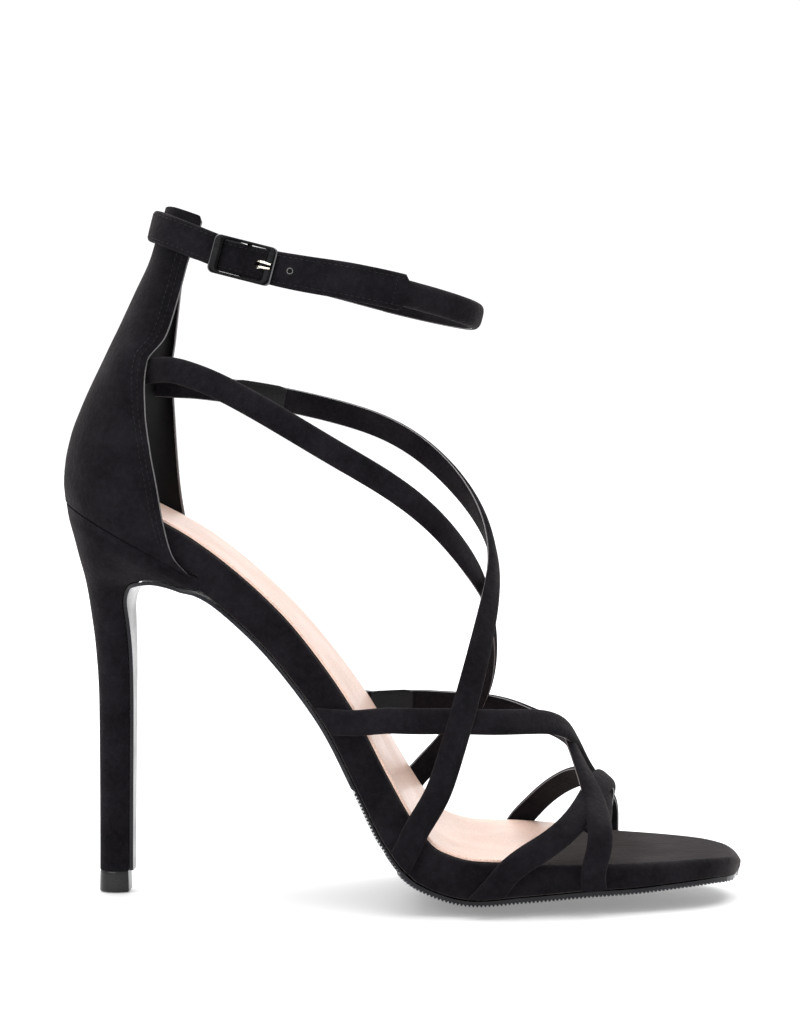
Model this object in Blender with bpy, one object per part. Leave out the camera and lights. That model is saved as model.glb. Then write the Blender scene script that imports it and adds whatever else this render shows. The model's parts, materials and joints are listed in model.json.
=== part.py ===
"""A right-foot strappy sandal on a stiletto heel, built as separate pieces.

Units are metres and +Z is up. The origin is the centre of the heel tip's bottom face. The toe
points to +X, and the medial side, next to the other foot, is +Y."""

import math

import bmesh
import bpy
import numpy as np

# Driving sizes of the sole, in metres
SOLE_LENGTH = 0.1951
BALL_WIDTH = 0.080
SEAT_RISE = 0.107
SEAT_BACK = -0.0142
PLATFORM = 0.0137
WALL_BULGE = 0.0002
OUTSOLE = 0.0015
ARCH_SHARE = 0.7
TREAD_TAPER = 0.98
SOCK = 0.0008
SOCK_INSET = 0.0014
SOCK_LENGTH = 0.139
SOCK_SLANT = 0.011
SOCK_TAPER = 0.97

# Driving sizes of the heel and the counter
HEEL_HEIGHT = 0.113
SEAT_WIDTH = 0.053
SEAT_LENGTH = 0.0394
SEAT_DROP = 0.0215
TOP_LIFT = 0.006
COUNTER_HEIGHT = 0.0845
COUNTER_WALL = 0.002

# Driving sizes of the straps
INSTEP_RISE = 0.110
STRAP_WIDTH = 0.0072
STRAP_THICKNESS = 0.0025
ANKLE_LENGTH = 0.0965
ANKLE_WIDTH = 0.055
ANKLE_TILT = 14.0
BAND_WIDTH = 0.0086
BAND_THICKNESS = 0.0018
CORD_THICKNESS = 0.0030
STRAP_PADDING = 0.75
CORD_PADDING = 0.8

# Driving sizes of the buckle
BUCKLE_LENGTH = 0.0187
BUCKLE_BAR = 0.0028
BUCKLE_RAIL = 0.0009
BUCKLE_POST = 0.0014
POST_SHARE = 0.98
BUCKLE_DEPTH = 0.0012
PRONG_WIDTH = 0.0022
PRONG_THICKNESS = 0.0010
PRONG_CLIMB = 0.0026
PRONG_LAP = 0.0022
TAIL_PAST_BUCKLE = 0.0088
HOLE_PITCH = 0.0099
HOLE_RADIUS = 0.0008
HOLE_COUNT = 2
HOLE_SIDES = 10

# Radius of the platform's upper edge behind the ball and at the toe, and the radius of its lower edge
# (of the upper one); the upper edge grows rounder between these two places (along)
EDGE_ROUND = 0.0012
TOE_ROUND = 0.0026
FEATHER_ROUND = 0.4
ROUNDER_FROM = 0.60
ROUNDER_TO = 0.88

# Clearances between pieces, and how deep the worn flat of the tread goes
GAP = 0.0003
EDGE_CLEARANCE = 0.0007
TREAD_FLAT = 0.0006

# The footbed's height at the ball, over the floor
FOREFOOT_TOP = PLATFORM + OUTSOLE + GAP - TREAD_FLAT

# The platform's sections stand upright up to the first of these places (along), and square to the
# footbed from the second one on
UPRIGHT_TO = 0.08
SQUARE_FROM = 0.22

# Past the seat the platform comes down to its full depth within this length, and may widen by this
# much of the distance
SEAT_STEP = 0.003
SEAT_FLARE = 0.5

# The toe's nose is rounded from this place (along) on: how much of the platform's thickness it loses
# from its top and from its base at the very tip
NOSE_FROM = 0.972
NOSE_TOP = 0.45
NOSE_BASE = 0.18

# A rounded edge takes at most this share of its half-width and wall, and the wall bulges most at this
# share of its height
EDGE_LIMIT = 0.4
BULGE_AT = 0.6

# How fast a crowned face rises towards its edges, and how far across a section a flat face reaches
CROWN_POWER = 2.4
FLAT_REACH = 0.965

# Straps that run down the platform's wall are cut along the feather line; their sections lie that way
# from this place (around) on
FEATHER_CUT = 1.6

# The share of a seat-shaped section's outline that is its round back
ROUND_SHARE = 0.6

# The heel's sections: where they are widest, how far back the breast's corners lie (both of the
# section's length), how far those corners stand out and where the crowned breast meets them (both of
# the breast's half-width)
HEEL_WIDEST = 0.55
CORNER_BACK = 0.02
CORNER_OUT = 1.02
BREAST_REACH = 0.95

# The counter's half-width at its front edges (of the widest one)
COUNTER_FRONT = 0.98

# The short distances, along and around the last, over which a direction is taken
NEARBY = 0.004
NEARBY_AROUND = 0.02

# The distance over which the ankle strap's direction is taken
ANKLE_NEARBY = 0.002

# The sole's sections start this far (along) past the counter's wall, stand closer at both ends by
# this power, and keep this far (along) from those at the seat's step
FIRST_SECTION = 0.002
END_POWER = 0.85
SECTION_GAP = 0.01

# The seat's step is looked for between these places (along), in steps of this size
STEP_SEARCH = (0.12, 0.35, 0.0002)

# How many sections and points the lofts take
SOLE_STATIONS = 40
HEEL_ROWS = (0, 1, 2, 2.5, 3, 3.5, 4, 4.5, 5, 5.5, 6, 6.5, 7, 7.5, 8, 8.5, 9, 10)
STRAP_STEP = 0.0055
ANKLE_STEP = 0.0048

# The footbed's centre line and the platform under it: along from the seat's back (of SOLE_LENGTH), up
# over the forefoot (of SEAT_RISE), thickness at the centre and crown of the underside (of PLATFORM),
# half-widths (of BALL_WIDTH)
SOLE = {
    "along": (0.00, 0.08, 0.13, 0.19, 0.245, 0.33, 0.39, 0.44, 0.485, 0.525, 0.56, 0.61,
              0.68, 0.75, 0.84, 0.90, 0.945, 0.975, 0.991, 1.00),
    "up": (1.002, 0.936, 0.891, 0.832, 0.762, 0.624, 0.494, 0.362, 0.210, 0.090, 0.025, 0.000,
           -0.005, -0.011, -0.013, -0.013, -0.014, -0.018, -0.022, -0.026),
    "thick": (0.82, 0.82, 0.82, 0.82, 0.83, 0.83, 0.81, 0.78, 0.81, 0.91, 0.98, 1.00,
              0.915, 0.785, 0.645, 0.56, 0.50, 0.46, 0.44, 0.42),
    "crown": (0.00, 0.00, 0.00, 0.00, 0.09, 0.14, 0.16, 0.16, 0.17, 0.20, 0.23, 0.25,
              0.28, 0.26, 0.17, 0.14, 0.12, 0.09, 0.05, 0.02),
    "lateral": (0.310, 0.310, 0.310, 0.308, 0.303, 0.314, 0.345, 0.385, 0.427, 0.462, 0.484, 0.495,
                0.484, 0.446, 0.382, 0.322, 0.258, 0.182, 0.100, 0.016),
    "medial": (0.310, 0.310, 0.310, 0.298, 0.272, 0.248, 0.268, 0.312, 0.366, 0.420, 0.460, 0.500,
               0.514, 0.492, 0.420, 0.345, 0.268, 0.182, 0.100, 0.016),
}

# The last over the footbed: where each section's ridge stands along (of SOLE_LENGTH) and up over the
# forefoot (of INSTEP_RISE), and the last's half-widths there (of BALL_WIDTH)
LAST = {
    "along": (0.00, 0.10, 0.22, 0.33, 0.43, 0.49, 0.55, 0.61, 0.69, 0.77, 0.85, 0.92, 1.00),
    "ridge_along": (0.40, 0.55, 0.595, 0.611, 0.634, 0.683, 0.730, 0.768, 0.817, 0.865, 0.910, 0.955, 1.00),
    "ridge_up": (1.80, 1.52, 1.16, 0.90, 0.683, 0.473, 0.295, 0.183, 0.112, 0.085, 0.065, 0.050, 0.035),
    "lateral": (0.34, 0.375, 0.405, 0.415, 0.425, 0.455, 0.485, 0.505, 0.495, 0.450, 0.385, 0.30, 0.05),
    "medial": (0.34, 0.370, 0.385, 0.370, 0.365, 0.410, 0.465, 0.510, 0.525, 0.500, 0.420, 0.32, 0.05),
}

# The heel from the tip up: the back and front ends of each section along (of SEAT_LENGTH, from the
# tip's centre) and up (of the height over the top lift), the half-width at the widest place and at
# the breast, and the crown of the breast (all three of SEAT_WIDTH)
HEEL = {
    "along": (0, 1, 2, 3, 4, 5, 6, 7, 8, 9, 10),
    "back": (-0.110, -0.110, -0.114, -0.137, -0.166, -0.203, -0.244, -0.287, -0.325, -0.337, -0.345),
    "back_up": (0.0, 0.222, 0.456, 0.604, 0.694, 0.784, 0.845, 0.906, 0.958, 0.980, 1.0),
    "front": (0.110, 0.114, 0.120, 0.118, 0.106, 0.100, 0.178, 0.358, 0.535, 0.658, 0.655),
    "front_up": (0.0, 0.222, 0.456, 0.578, 0.663, 0.738, 0.780, 0.788, 0.774, 0.764, 0.7985),
    "half": (0.084, 0.089, 0.099, 0.125, 0.166, 0.236, 0.320, 0.405, 0.462, 0.478, 0.486),
    "breast": (0.064, 0.069, 0.079, 0.102, 0.140, 0.205, 0.285, 0.365, 0.410, 0.440, 0.455),
    "crown": (0.0, 0.0, 0.0, 0.0, 0.0, 0.004, 0.012, 0.020, 0.028, 0.028, 0.010),
}

# The heel tip's spread over the heel's own section, from the floor up: height (of TOP_LIFT), spread
TOP_LIFT_TAPER = ((0.0, 1.03), (0.85, 1.0), (1.0, 0.96))

# The counter from the seam up: the back edge and the lateral and medial front edges along (of
# SEAT_LENGTH, from the tip's centre) and up over the seam's back (of COUNTER_HEIGHT), the half-width
# (of SEAT_WIDTH), and where it is widest (of the section's own length)
COUNTER = {
    "back": (-0.350, -0.361, -0.350, -0.305, -0.231, -0.150, -0.079, -0.018, 0.053, 0.162, 0.269, 0.320, 0.386),
    "back_up": (0.0, 0.065, 0.130, 0.225, 0.314, 0.396, 0.462, 0.521, 0.592, 0.702, 0.809, 0.888, 1.00),
    "lateral": (0.629, 0.510, 0.444, 0.396, 0.350, 0.314, 0.307, 0.325, 0.446, 0.530, 0.596, 0.655, 0.688),
    "medial": (0.629, 0.510, 0.444, 0.402, 0.380, 0.365, 0.355, 0.355, 0.385, 0.425, 0.465, 0.510, 0.540),
    "front_up": (-0.250, -0.183, -0.075, 0.051, 0.168, 0.296, 0.396, 0.465, 0.544, 0.675, 0.800, 0.886, 0.950),
    "half": (0.500, 0.508, 0.510, 0.510, 0.508, 0.495, 0.478, 0.455, 0.415, 0.365, 0.325, 0.302, 0.282),
    "widest": (0.62, 0.68, 0.76, 0.82, 0.84, 0.86, 0.86, 0.86, 0.84, 0.82, 0.80, 0.78, 0.78),
}

# The six straps of the upper, each a route of (along, around, lift): along the footbed (of its length),
# around the last from the lateral edge of the footbed (-1) over the ridge (0) to the medial edge (1)
# and on to the feather line (2), and the lift over the last (of STRAP_THICKNESS)
STRAPS = {
    "heel_lateral_to_ball_medial": (
        (0.0145, -0.780, -1.95), (0.040, -0.74, -0.7), (0.097, -0.70, 0.0), (0.197, -0.60, 0.0),
        (0.275, -0.47, 0.0), (0.350, -0.34, 0.0), (0.407, -0.25, -0.3), (0.436, -0.06, -1.6),
        (0.460, 0.22, -1.9), (0.488, 0.52, -0.4), (0.505, 0.74, 0.8), (0.511, 0.93, 0.8),
        (0.513, 1.20, 0.2), (0.524, 1.92, 0.0)),
    "heel_medial_to_ball_lateral": (
        (0.024, 0.785, -2.08), (0.072, 0.72, -1.3), (0.150, 0.59, 0.0), (0.216, 0.43, 0.0),
        (0.288, 0.28, 0.0), (0.350, 0.12, 0.2), (0.408, -0.05, 0.5), (0.441, -0.27, 0.5),
        (0.463, -0.46, 0.6), (0.486, -0.64, 0.9), (0.508, -0.79, 0.6), (0.524, -0.94, 0.2),
        (0.532, -1.21, 0.0), (0.541, -1.92, 0.0)),
    "waist_lateral_to_toe_medial": (
        (0.430, -1.92, 0.0), (0.440, -1.34, 0.0), (0.447, -0.98, 0.0), (0.467, -0.80, 0.0),
        (0.484, -0.66, 0.0), (0.504, -0.51, 0.0), (0.528, -0.29, 0.5), (0.548, -0.10, 0.6),
        (0.570, 0.06, 0.6), (0.610, 0.20, 0.6), (0.680, 0.38, 0.6), (0.750, 0.63, 0.6),
        (0.795, 0.92, 0.6), (0.806, 1.25, 0.3), (0.808, 1.92, 0.0)),
    "waist_medial_to_toe_lateral": (
        (0.430, 1.92, 0.0), (0.437, 1.40, 0.0), (0.444, 1.05, 0.0), (0.464, 0.84, 0.0),
        (0.485, 0.68, 0.0), (0.511, 0.48, 0.0), (0.536, 0.31, 0.0), (0.558, 0.10, 0.0),
        (0.578, -0.06, 0.1), (0.606, -0.18, 0.4), (0.646, -0.32, 0.6), (0.703, -0.54, 0.6),
        (0.758, -0.86, 0.6), (0.772, -1.25, 0.3), (0.776, -1.92, 0.0)),
    "ball_lateral_to_toe_medial": (
        (0.628, -1.92, 0.0), (0.650, -1.41, 0.0), (0.663, -0.92, 0.0), (0.663, -0.71, 0.0),
        (0.650, -0.44, 0.0), (0.638, -0.24, 0.3), (0.640, -0.03, 0.8), (0.662, 0.18, 0.5),
        (0.712, 0.48, 0.0), (0.765, 0.75, 0.0)),
    "ball_medial_to_toe_lateral": (
        (0.655, 1.92, 0.0), (0.664, 1.35, 0.0), (0.664, 0.96, 0.0), (0.645, 0.75, 0.0),
        (0.629, 0.53, 0.0), (0.625, 0.33, 0.0), (0.632, 0.12, -0.1), (0.644, -0.06, -0.2),
        (0.662, -0.26, -0.1), (0.692, -0.49, 0.0), (0.735, -0.74, 0.0)),
}

# The ankle strap, a route from the buckle's centre bar round the back, the medial side and the front
# to its free end under the buckle: forward of the counter's back (of ANKLE_LENGTH), across (of
# ANKLE_WIDTH), up over the back (of BAND_WIDTH), width (of BAND_WIDTH), and padding from a flat band
# (0) to a round cord (1)
ANKLE = (
    (0.304, -0.420, -0.13, 1.00, 0.0), (0.206, -0.392, 0.02, 1.00, 0.0), (0.120, -0.368, 0.16, 1.00, 0.0),
    (0.074, -0.350, 0.23, 1.00, 0.0), (0.031, -0.270, 0.30, 1.00, 0.0), (0.007, -0.137, 0.34, 1.00, 0.0),
    (0.000, 0.000, 0.36, 1.00, 0.0), (0.007, 0.137, 0.37, 1.00, 0.0), (0.031, 0.270, 0.35, 1.00, 0.0),
    (0.074, 0.350, 0.28, 0.98, 0.0), (0.120, 0.376, 0.22, 0.94, 0.1), (0.206, 0.408, 0.16, 0.87, 0.6),
    (0.317, 0.465, 0.10, 0.82, 1.0), (0.467, 0.490, 0.06, 0.81, 1.0), (0.592, 0.475, 0.03, 0.81, 1.0),
    (0.698, 0.450, 0.00, 0.81, 1.0), (0.771, 0.415, -0.01, 0.81, 1.0), (0.877, 0.325, -0.01, 0.81, 1.0),
    (0.945, 0.225, 0.00, 0.81, 1.0), (0.987, 0.110, 0.01, 0.81, 1.0), (1.000, 0.000, 0.04, 0.81, 1.0),
    (0.987, -0.118, 0.06, 0.81, 1.0), (0.948, -0.245, 0.08, 0.81, 1.0), (0.868, -0.360, 0.10, 0.81, 1.0),
    (0.825, -0.405, 0.10, 0.83, 1.0), (0.790, -0.437, 0.10, 1.15, 0.0), (0.634, -0.492, 0.03, 1.16, 0.0),
    (0.490, -0.504, -0.10, 1.12, 0.0), (0.420, -0.491, -0.14, 1.08, 0.0), (0.317, -0.4636, -0.14, 1.00, 0.0),
    (0.225, -0.4388, -0.12, 1.00, 0.0),
)


def read(table, column, at):
    """Read a table's column by a smooth curve, at a place along its first column."""
    return hermite(table["along"], table[column], at)


def hermite(xs, ys, at):
    """A cubic curve through points. Each point's slope comes from its two neighbours: between a slow
    and a fast stretch the slow one counts more, so that the curve doesn't overshoot."""
    xs, ys = np.array(xs, float), np.array(ys, float)
    steps = np.diff(xs)
    chords = np.diff(ys) / steps
    slopes = np.empty(len(xs))
    slopes[0], slopes[-1] = chords[0], chords[-1]
    for i, (early, late) in enumerate(zip(chords, chords[1:])):
        if early * late > 0:
            slopes[i + 1] = 2 * early * late / (early + late)
        else:
            slopes[i + 1] = (early * steps[i + 1] + late * steps[i]) / (steps[i] + steps[i + 1])
    k = int(np.clip(np.searchsorted(xs, at) - 1, 0, len(xs) - 2))
    t = (at - xs[k]) / steps[k]
    near = (1 + 2 * t) * (1 - t) ** 2 * ys[k] + t * (1 - t) ** 2 * steps[k] * slopes[k]
    far = t * t * (3 - 2 * t) * ys[k + 1] - t * t * (1 - t) * steps[k] * slopes[k + 1]
    return float(near + far)


def ramp(t):
    """A soft step from 0 to 1."""
    t = min(max(t, 0.0), 1.0)
    return t * t * (3 - 2 * t)


def unit(vector):
    return vector / np.linalg.norm(vector)


def seat_end(front):
    """The seat's back or front end, x and z, where heel, counter and midsole meet."""
    x = HEEL["front"][-1] if front else HEEL["back"][-1]
    return np.array([x * SEAT_LENGTH, HEEL_HEIGHT - (SEAT_DROP if front else 0.0)])


def seat_plane(x):
    """Height of the sloping face on top of the heel."""
    back, front = seat_end(False), seat_end(True)
    return back[1] + (x - back[0]) * (front[1] - back[1]) / (front[0] - back[0])


def footbed_line(along):
    """The footbed's centre line: x and z at a share of the sole's length."""
    return np.array([SEAT_BACK + along * SOLE_LENGTH, FOREFOOT_TOP + read(SOLE, "up", along) * SEAT_RISE])


def sole_station(along):
    """One section of the platform: its top and its base at the centre, half-widths and crown."""
    top = footbed_line(along)
    ahead = unit(footbed_line(along + NEARBY) - footbed_line(along - NEARBY))
    lean = math.atan2(-ahead[1], ahead[0]) * ramp((along - UPRIGHT_TO) / (SQUARE_FROM - UPRIGHT_TO))
    down = np.array([-math.sin(lean), -math.cos(lean)])
    thick = read(SOLE, "thick", along) * PLATFORM
    back, front = seat_end(False), seat_end(True)
    slope = (front[1] - back[1]) / (front[0] - back[0])
    to_seat = (seat_plane(top[0]) + GAP - top[1]) / (down[1] - slope * down[0])
    past_seat = (top[0] + to_seat * down[0] - front[0] - GAP) / SEAT_STEP
    if past_seat < 1.0:
        thick = to_seat + (thick - to_seat) * ramp(past_seat)
    nose = min(max((along - NOSE_FROM) / (1 - NOSE_FROM), 0.0), 1.0)
    fall = 1 - math.sqrt(1 - nose ** 2)
    top = top + down * thick * NOSE_TOP * fall
    thick = thick * (1 - (NOSE_TOP + NOSE_BASE) * fall)
    room = SEAT_WIDTH / 2 - COUNTER_WALL - EDGE_CLEARANCE
    start = SEAT_BACK + COUNTER_WALL + EDGE_CLEARANCE
    depth = min(max((top[0] - start) / room, 0.0), 1.0)
    inside = room * math.sqrt(1 - (1 - depth) ** 2) + max(0.0, top[0] - front[0]) * SEAT_FLARE
    halves = [min(read(SOLE, side, along) * BALL_WIDTH, inside) for side in ("lateral", "medial")]
    return {"top": top, "base": top + down * thick, "down": down, "thick": thick,
            "crown": max(read(SOLE, "crown", along), 0.0) * PLATFORM, "lateral": halves[0],
            "medial": halves[1], "past_seat": past_seat}


def crown_lift(share):
    """How far the crowned underside has risen at a share of the half-width, from 0 to 1."""
    return abs(share) ** CROWN_POWER


def last_section(along):
    """One section of the last: its foot on the footbed, its ridge, and its half-widths."""
    foot = footbed_line(along)
    ridge = np.array([SEAT_BACK + read(LAST, "ridge_along", along) * SOLE_LENGTH,
                      FOREFOOT_TOP + read(LAST, "ridge_up", along) * INSTEP_RISE])
    return foot, ridge


def last_point(along, around):
    """A point of the last: an arch of an ellipse that stands on the footbed's two edges, and past
    an edge the platform's wall down to the feather line."""
    station = sole_station(along)
    side = "medial" if around > 0 else "lateral"
    sign = 1.0 if around > 0 else -1.0
    edge = read(SOLE, side, along) * BALL_WIDTH + WALL_BULGE + EDGE_CLEARANCE
    foot, ridge = last_section(along)
    share = min(abs(around), 1.0)
    wide = max(read(LAST, side, along) * BALL_WIDTH, edge)
    reach = math.pi - math.asin(edge / wide)
    turn = share * reach
    height = (math.cos(turn) - math.cos(reach)) / (1 - math.cos(reach))
    spot = foot + (ridge - foot) * height
    wall = station["down"] * (station["thick"] - station["crown"]) * max(0.0, abs(around) - 1.0)
    return np.array([spot[0] + wall[0], sign * wide * math.sin(turn), spot[1] + wall[1]])


def last_forward(along, around):
    """The direction along the last at a point."""
    return unit(last_point(along + NEARBY, around) - last_point(along - NEARBY, around))


def last_normal(along, around):
    """The last's outward direction at a point."""
    over = last_point(along, around + NEARBY_AROUND) - last_point(along, around - NEARBY_AROUND)
    return unit(np.cross(last_forward(along, around), over))


def seat_curve(share, half, front_half, widest):
    """A seat-shaped section: how far forward (0 to 1) and how far out it is at a share of the way
    from the middle of its back (0) to its front edge (1)."""
    if share < ROUND_SHARE:
        turn = share / ROUND_SHARE * math.pi / 2
        return widest * (1 - math.cos(turn)), half * math.sin(turn)
    rest = (share - ROUND_SHARE) / (1 - ROUND_SHARE)
    return widest + (1 - widest) * rest, half + (front_half - half) * rest ** 2


def loft(rings):
    """A closed mesh through rings of the same number of points, capped at both ends."""
    mesh = bmesh.new()
    rows = [[mesh.verts.new(tuple(point)) for point in ring] for ring in rings]
    count = len(rows[0])
    for near, far in zip(rows, rows[1:]):
        for k in range(count):
            mesh.faces.new((near[k], near[(k + 1) % count], far[(k + 1) % count], far[k]))
    caps = [mesh.faces.new(rows[0][::-1]), mesh.faces.new(rows[-1])]
    bmesh.ops.triangulate(mesh, faces=caps)
    return mesh


def finish(name, mesh, look, smooth_angle=40.0):
    """Turn a bmesh into a named object with its material."""
    mesh.normal_update()
    bmesh.ops.recalc_face_normals(mesh, faces=mesh.faces)
    data = bpy.data.meshes.new(name)
    mesh.to_mesh(data)
    mesh.free()
    data.shade_smooth()
    data.set_sharp_from_angle(angle=math.radians(smooth_angle))
    data.materials.append(look)
    thing = bpy.data.objects.new(name, data)
    bpy.context.collection.objects.link(thing)
    return thing


def material(name, colour, roughness, metallic=0.0):
    look = bpy.data.materials.new(name)
    look.use_nodes = True
    shader = look.node_tree.nodes["Principled BSDF"]
    shader.inputs["Base Color"].default_value = (*colour, 1.0)
    shader.inputs["Roughness"].default_value = roughness
    shader.inputs["Metallic"].default_value = metallic
    return look


def across(station, share, depth, spread=1.0):
    """A point of a sole section: share of the half-width from lateral (-1) to medial (1), depth under
    the footbed's centre along the section."""
    half = station["medial"] if share > 0 else station["lateral"]
    spot = station["top"] + station["down"] * depth
    return np.array([spot[0], share * half * spread, spot[1]])


def midsole_ring(along):
    """Top with rounded edges, walls that bulge a little, and a crowned underside."""
    station = sole_station(along)
    thick, crown = station["thick"], station["crown"]
    half = min(station["lateral"], station["medial"])
    round_to = EDGE_ROUND + (TOE_ROUND - EDGE_ROUND) * ramp((along - ROUNDER_FROM) / (ROUNDER_TO - ROUNDER_FROM))
    wall = thick - crown
    soft = min(round_to, half * EDGE_LIMIT, wall * EDGE_LIMIT)
    chord = soft * (1 - math.sqrt(0.5))
    upper = [(1 - soft / half, 0.0, 1.0), (1 - chord / half, chord, 1.0), (1.0, soft, 1.0),
             (1.0, wall * BULGE_AT, 1 + WALL_BULGE / half), (1 - FEATHER_ROUND * EDGE_ROUND / half, wall, 1.0)]
    under = (0.7, 0.35, 0.0, -0.35, -0.7)
    ring = [across(station, share, 0.0) for share in (-0.5, 0.0, 0.5)]
    ring += [across(station, share, depth, spread) for share, depth, spread in upper]
    ring += [across(station, share, thick - crown * crown_lift(share)) for share in under]
    ring += [across(station, -share, depth, spread) for share, depth, spread in reversed(upper)]
    return ring


def sole_stations():
    """Places of the sole's sections, closer together at both rounded ends, with two of them where
    the platform leaves the seat."""
    first = (COUNTER_WALL + EDGE_CLEARANCE) / SOLE_LENGTH + FIRST_SECTION
    places = []
    for k in range(SOLE_STATIONS):
        turn = math.pi * k / (SOLE_STATIONS - 1)
        places.append(first + (1.0 - first) * (0.5 - 0.5 * math.cos(turn)) ** END_POWER)
    leaves = [place for place in np.arange(*STEP_SEARCH) if 0.0 < sole_station(place)["past_seat"] < 1.0]
    places = [place for place in places if not leaves[0] - SECTION_GAP < place < leaves[-1] + SECTION_GAP]
    return sorted(places + [leaves[0], (leaves[0] + leaves[-1]) / 2, leaves[-1]])


def build_midsole(look):
    rings = [midsole_ring(along) for along in sole_stations()]
    return finish("midsole", loft(rings), look)


def build_sock(look):
    """The lining sheet on the footbed, from the counter to under the ball's straps, where its front
    edge slants forward to the medial side."""
    low, high = -GAP, -GAP - SOCK
    outline = [(share, high) for share in (-SOCK_TAPER, -0.5, 0.0, 0.5, SOCK_TAPER)]
    outline += [(share, low) for share in (1.0, 0.5, 0.0, -0.5, -1.0)]
    places = [place for place in sole_stations()[2:] if place * SOLE_LENGTH < SOCK_LENGTH - SOCK_SLANT]
    rings = []
    for place in places + [None]:
        ring = []
        for share, depth in outline:
            station = sole_station(place or (SOCK_LENGTH + share * SOCK_SLANT) / SOLE_LENGTH)
            inner = {side: max(station[side] - SOCK_INSET, SOCK) for side in ("lateral", "medial")}
            ring.append(across(dict(station, **inner), share, depth))
        rings.append(ring)
    return finish("insole_sock", loft(rings), look)


def heel_row(row):
    """The two ends of a heel section, x and z."""
    foot = TOP_LIFT + GAP
    tall = HEEL_HEIGHT - foot
    back = np.array([read(HEEL, "back", row) * SEAT_LENGTH, foot + read(HEEL, "back_up", row) * tall])
    front = np.array([read(HEEL, "front", row) * SEAT_LENGTH, foot + read(HEEL, "front_up", row) * tall])
    return back, front


def heel_ring(row, back, front):
    """A heel section: round at the back, with a flat or slightly crowned breast."""
    half = read(HEEL, "half", row) * SEAT_WIDTH
    breast = read(HEEL, "breast", row) * SEAT_WIDTH
    crown = read(HEEL, "crown", row) * SEAT_WIDTH
    length = np.linalg.norm(front - back)
    ahead = (front - back) / length
    side = []
    for share in (0.0, 0.13, 0.26, 0.39, 0.5, 0.6, 0.8):
        forward, out = seat_curve(share, half, breast, HEEL_WIDEST)
        side.append((forward * (length - crown), out))
    side.append((length - crown - CORNER_BACK * length, breast * CORNER_OUT))
    for share in (0.9, 0.5, 0.0):
        side.append((length - crown * crown_lift(share / BREAST_REACH), breast * share))
    loop = [(forward, -out) for forward, out in side] + [(forward, out) for forward, out in side[-2:0:-1]]
    return [np.array([back[0] + ahead[0] * f, out, back[1] + ahead[1] * f]) for f, out in loop]


def build_heel(look):
    rings = []
    for row in HEEL_ROWS:
        back, front = heel_row(row)
        if row == HEEL["along"][-1]:
            back, front = seat_end(False), seat_end(True)
        rings.append(heel_ring(row, back, front))
    return finish("heel", loft(rings), look)


def build_top_lift(look):
    back, front = heel_row(0)
    rings = []
    for height, spread in TOP_LIFT_TAPER:
        ends = [np.array([end[0] * spread, height * TOP_LIFT]) for end in (back, front)]
        ring = heel_ring(0, *ends)
        rings.append([point * np.array([1.0, spread, 1.0]) for point in ring])
    return finish("top_lift", loft(rings), look)


def outsole_line():
    """Stations of the outsole from the toe back under the forefoot and the arch, and down the
    breast of the heel: where the covered surface lies, its half-widths and its crown."""
    line = []
    for along in reversed(sole_stations()):
        station = sole_station(along)
        if station["past_seat"] >= 1.0:
            line.append({"spot": station["base"], "crown": station["crown"], "inward": -station["down"],
                         "lateral": station["lateral"], "medial": station["medial"]})
    for row in reversed(HEEL_ROWS[:-2]):
        back, front = heel_row(row)
        half = read(HEEL, "breast", row) * SEAT_WIDTH
        line.append({"spot": front, "crown": read(HEEL, "crown", row) * SEAT_WIDTH,
                     "inward": unit(back - front), "lateral": half, "medial": half})
    return line


def build_outsole(look):
    """The thin sole: crowned like the surface that it covers, and worn flat where it stands."""
    line = outsole_line()
    rings = []
    for k, station in enumerate(line):
        after, before = line[min(k + 1, len(line) - 1)]["spot"], line[max(k - 1, 0)]["spot"]
        back = unit(after - before)
        out = np.array([back[1], -back[0]])
        out = -out if np.dot(out, station["inward"]) > 0 else out
        thick = OUTSOLE if station["spot"][0] > SOLE_LENGTH / 2 + SEAT_BACK else OUTSOLE * ARCH_SHARE
        shares = (-FLAT_REACH, -0.7, -0.35, 0.0, 0.35, 0.7, FLAT_REACH)
        ring = []
        for share, depth in [(v, 0.0) for v in shares] + [(v * TREAD_TAPER, thick) for v in reversed(shares)]:
            half = station["medial"] if share > 0 else station["lateral"]
            spot = station["spot"] + station["inward"] * station["crown"] * crown_lift(share)
            spot = spot + out * (GAP + depth)
            ring.append(np.array([spot[0], share * half, max(spot[1], 0.0)]))
        rings.append(ring)
    return finish("outsole", loft(rings), look)


def shell(outer, inner):
    """A closed wall between two grids of points, rows by columns."""
    mesh = bmesh.new()
    skins = [[[mesh.verts.new(tuple(point)) for point in row] for row in grid] for grid in (outer, inner)]
    tall, wide = len(outer), len(outer[0])
    for skin in skins:
        for r in range(tall - 1):
            for c in range(wide - 1):
                mesh.faces.new((skin[r][c], skin[r][c + 1], skin[r + 1][c + 1], skin[r + 1][c]))
    rim = [(0, c) for c in range(wide)] + [(r, wide - 1) for r in range(1, tall)]
    rim += [(tall - 1, c) for c in range(wide - 2, -1, -1)] + [(r, 0) for r in range(tall - 2, 0, -1)]
    for (r, c), (r2, c2) in zip(rim, rim[1:] + rim[:1]):
        mesh.faces.new((skins[0][r][c], skins[0][r2][c2], skins[1][r2][c2], skins[1][r][c]))
    return mesh


def counter_end(row, end, up):
    """The back or a front edge of a counter section, x and z."""
    x = COUNTER[end][row] * SEAT_LENGTH
    z = HEEL_HEIGHT + GAP + COUNTER[up][row] * COUNTER_HEIGHT
    return np.array([x, max(z, seat_plane(x) + GAP)])


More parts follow.
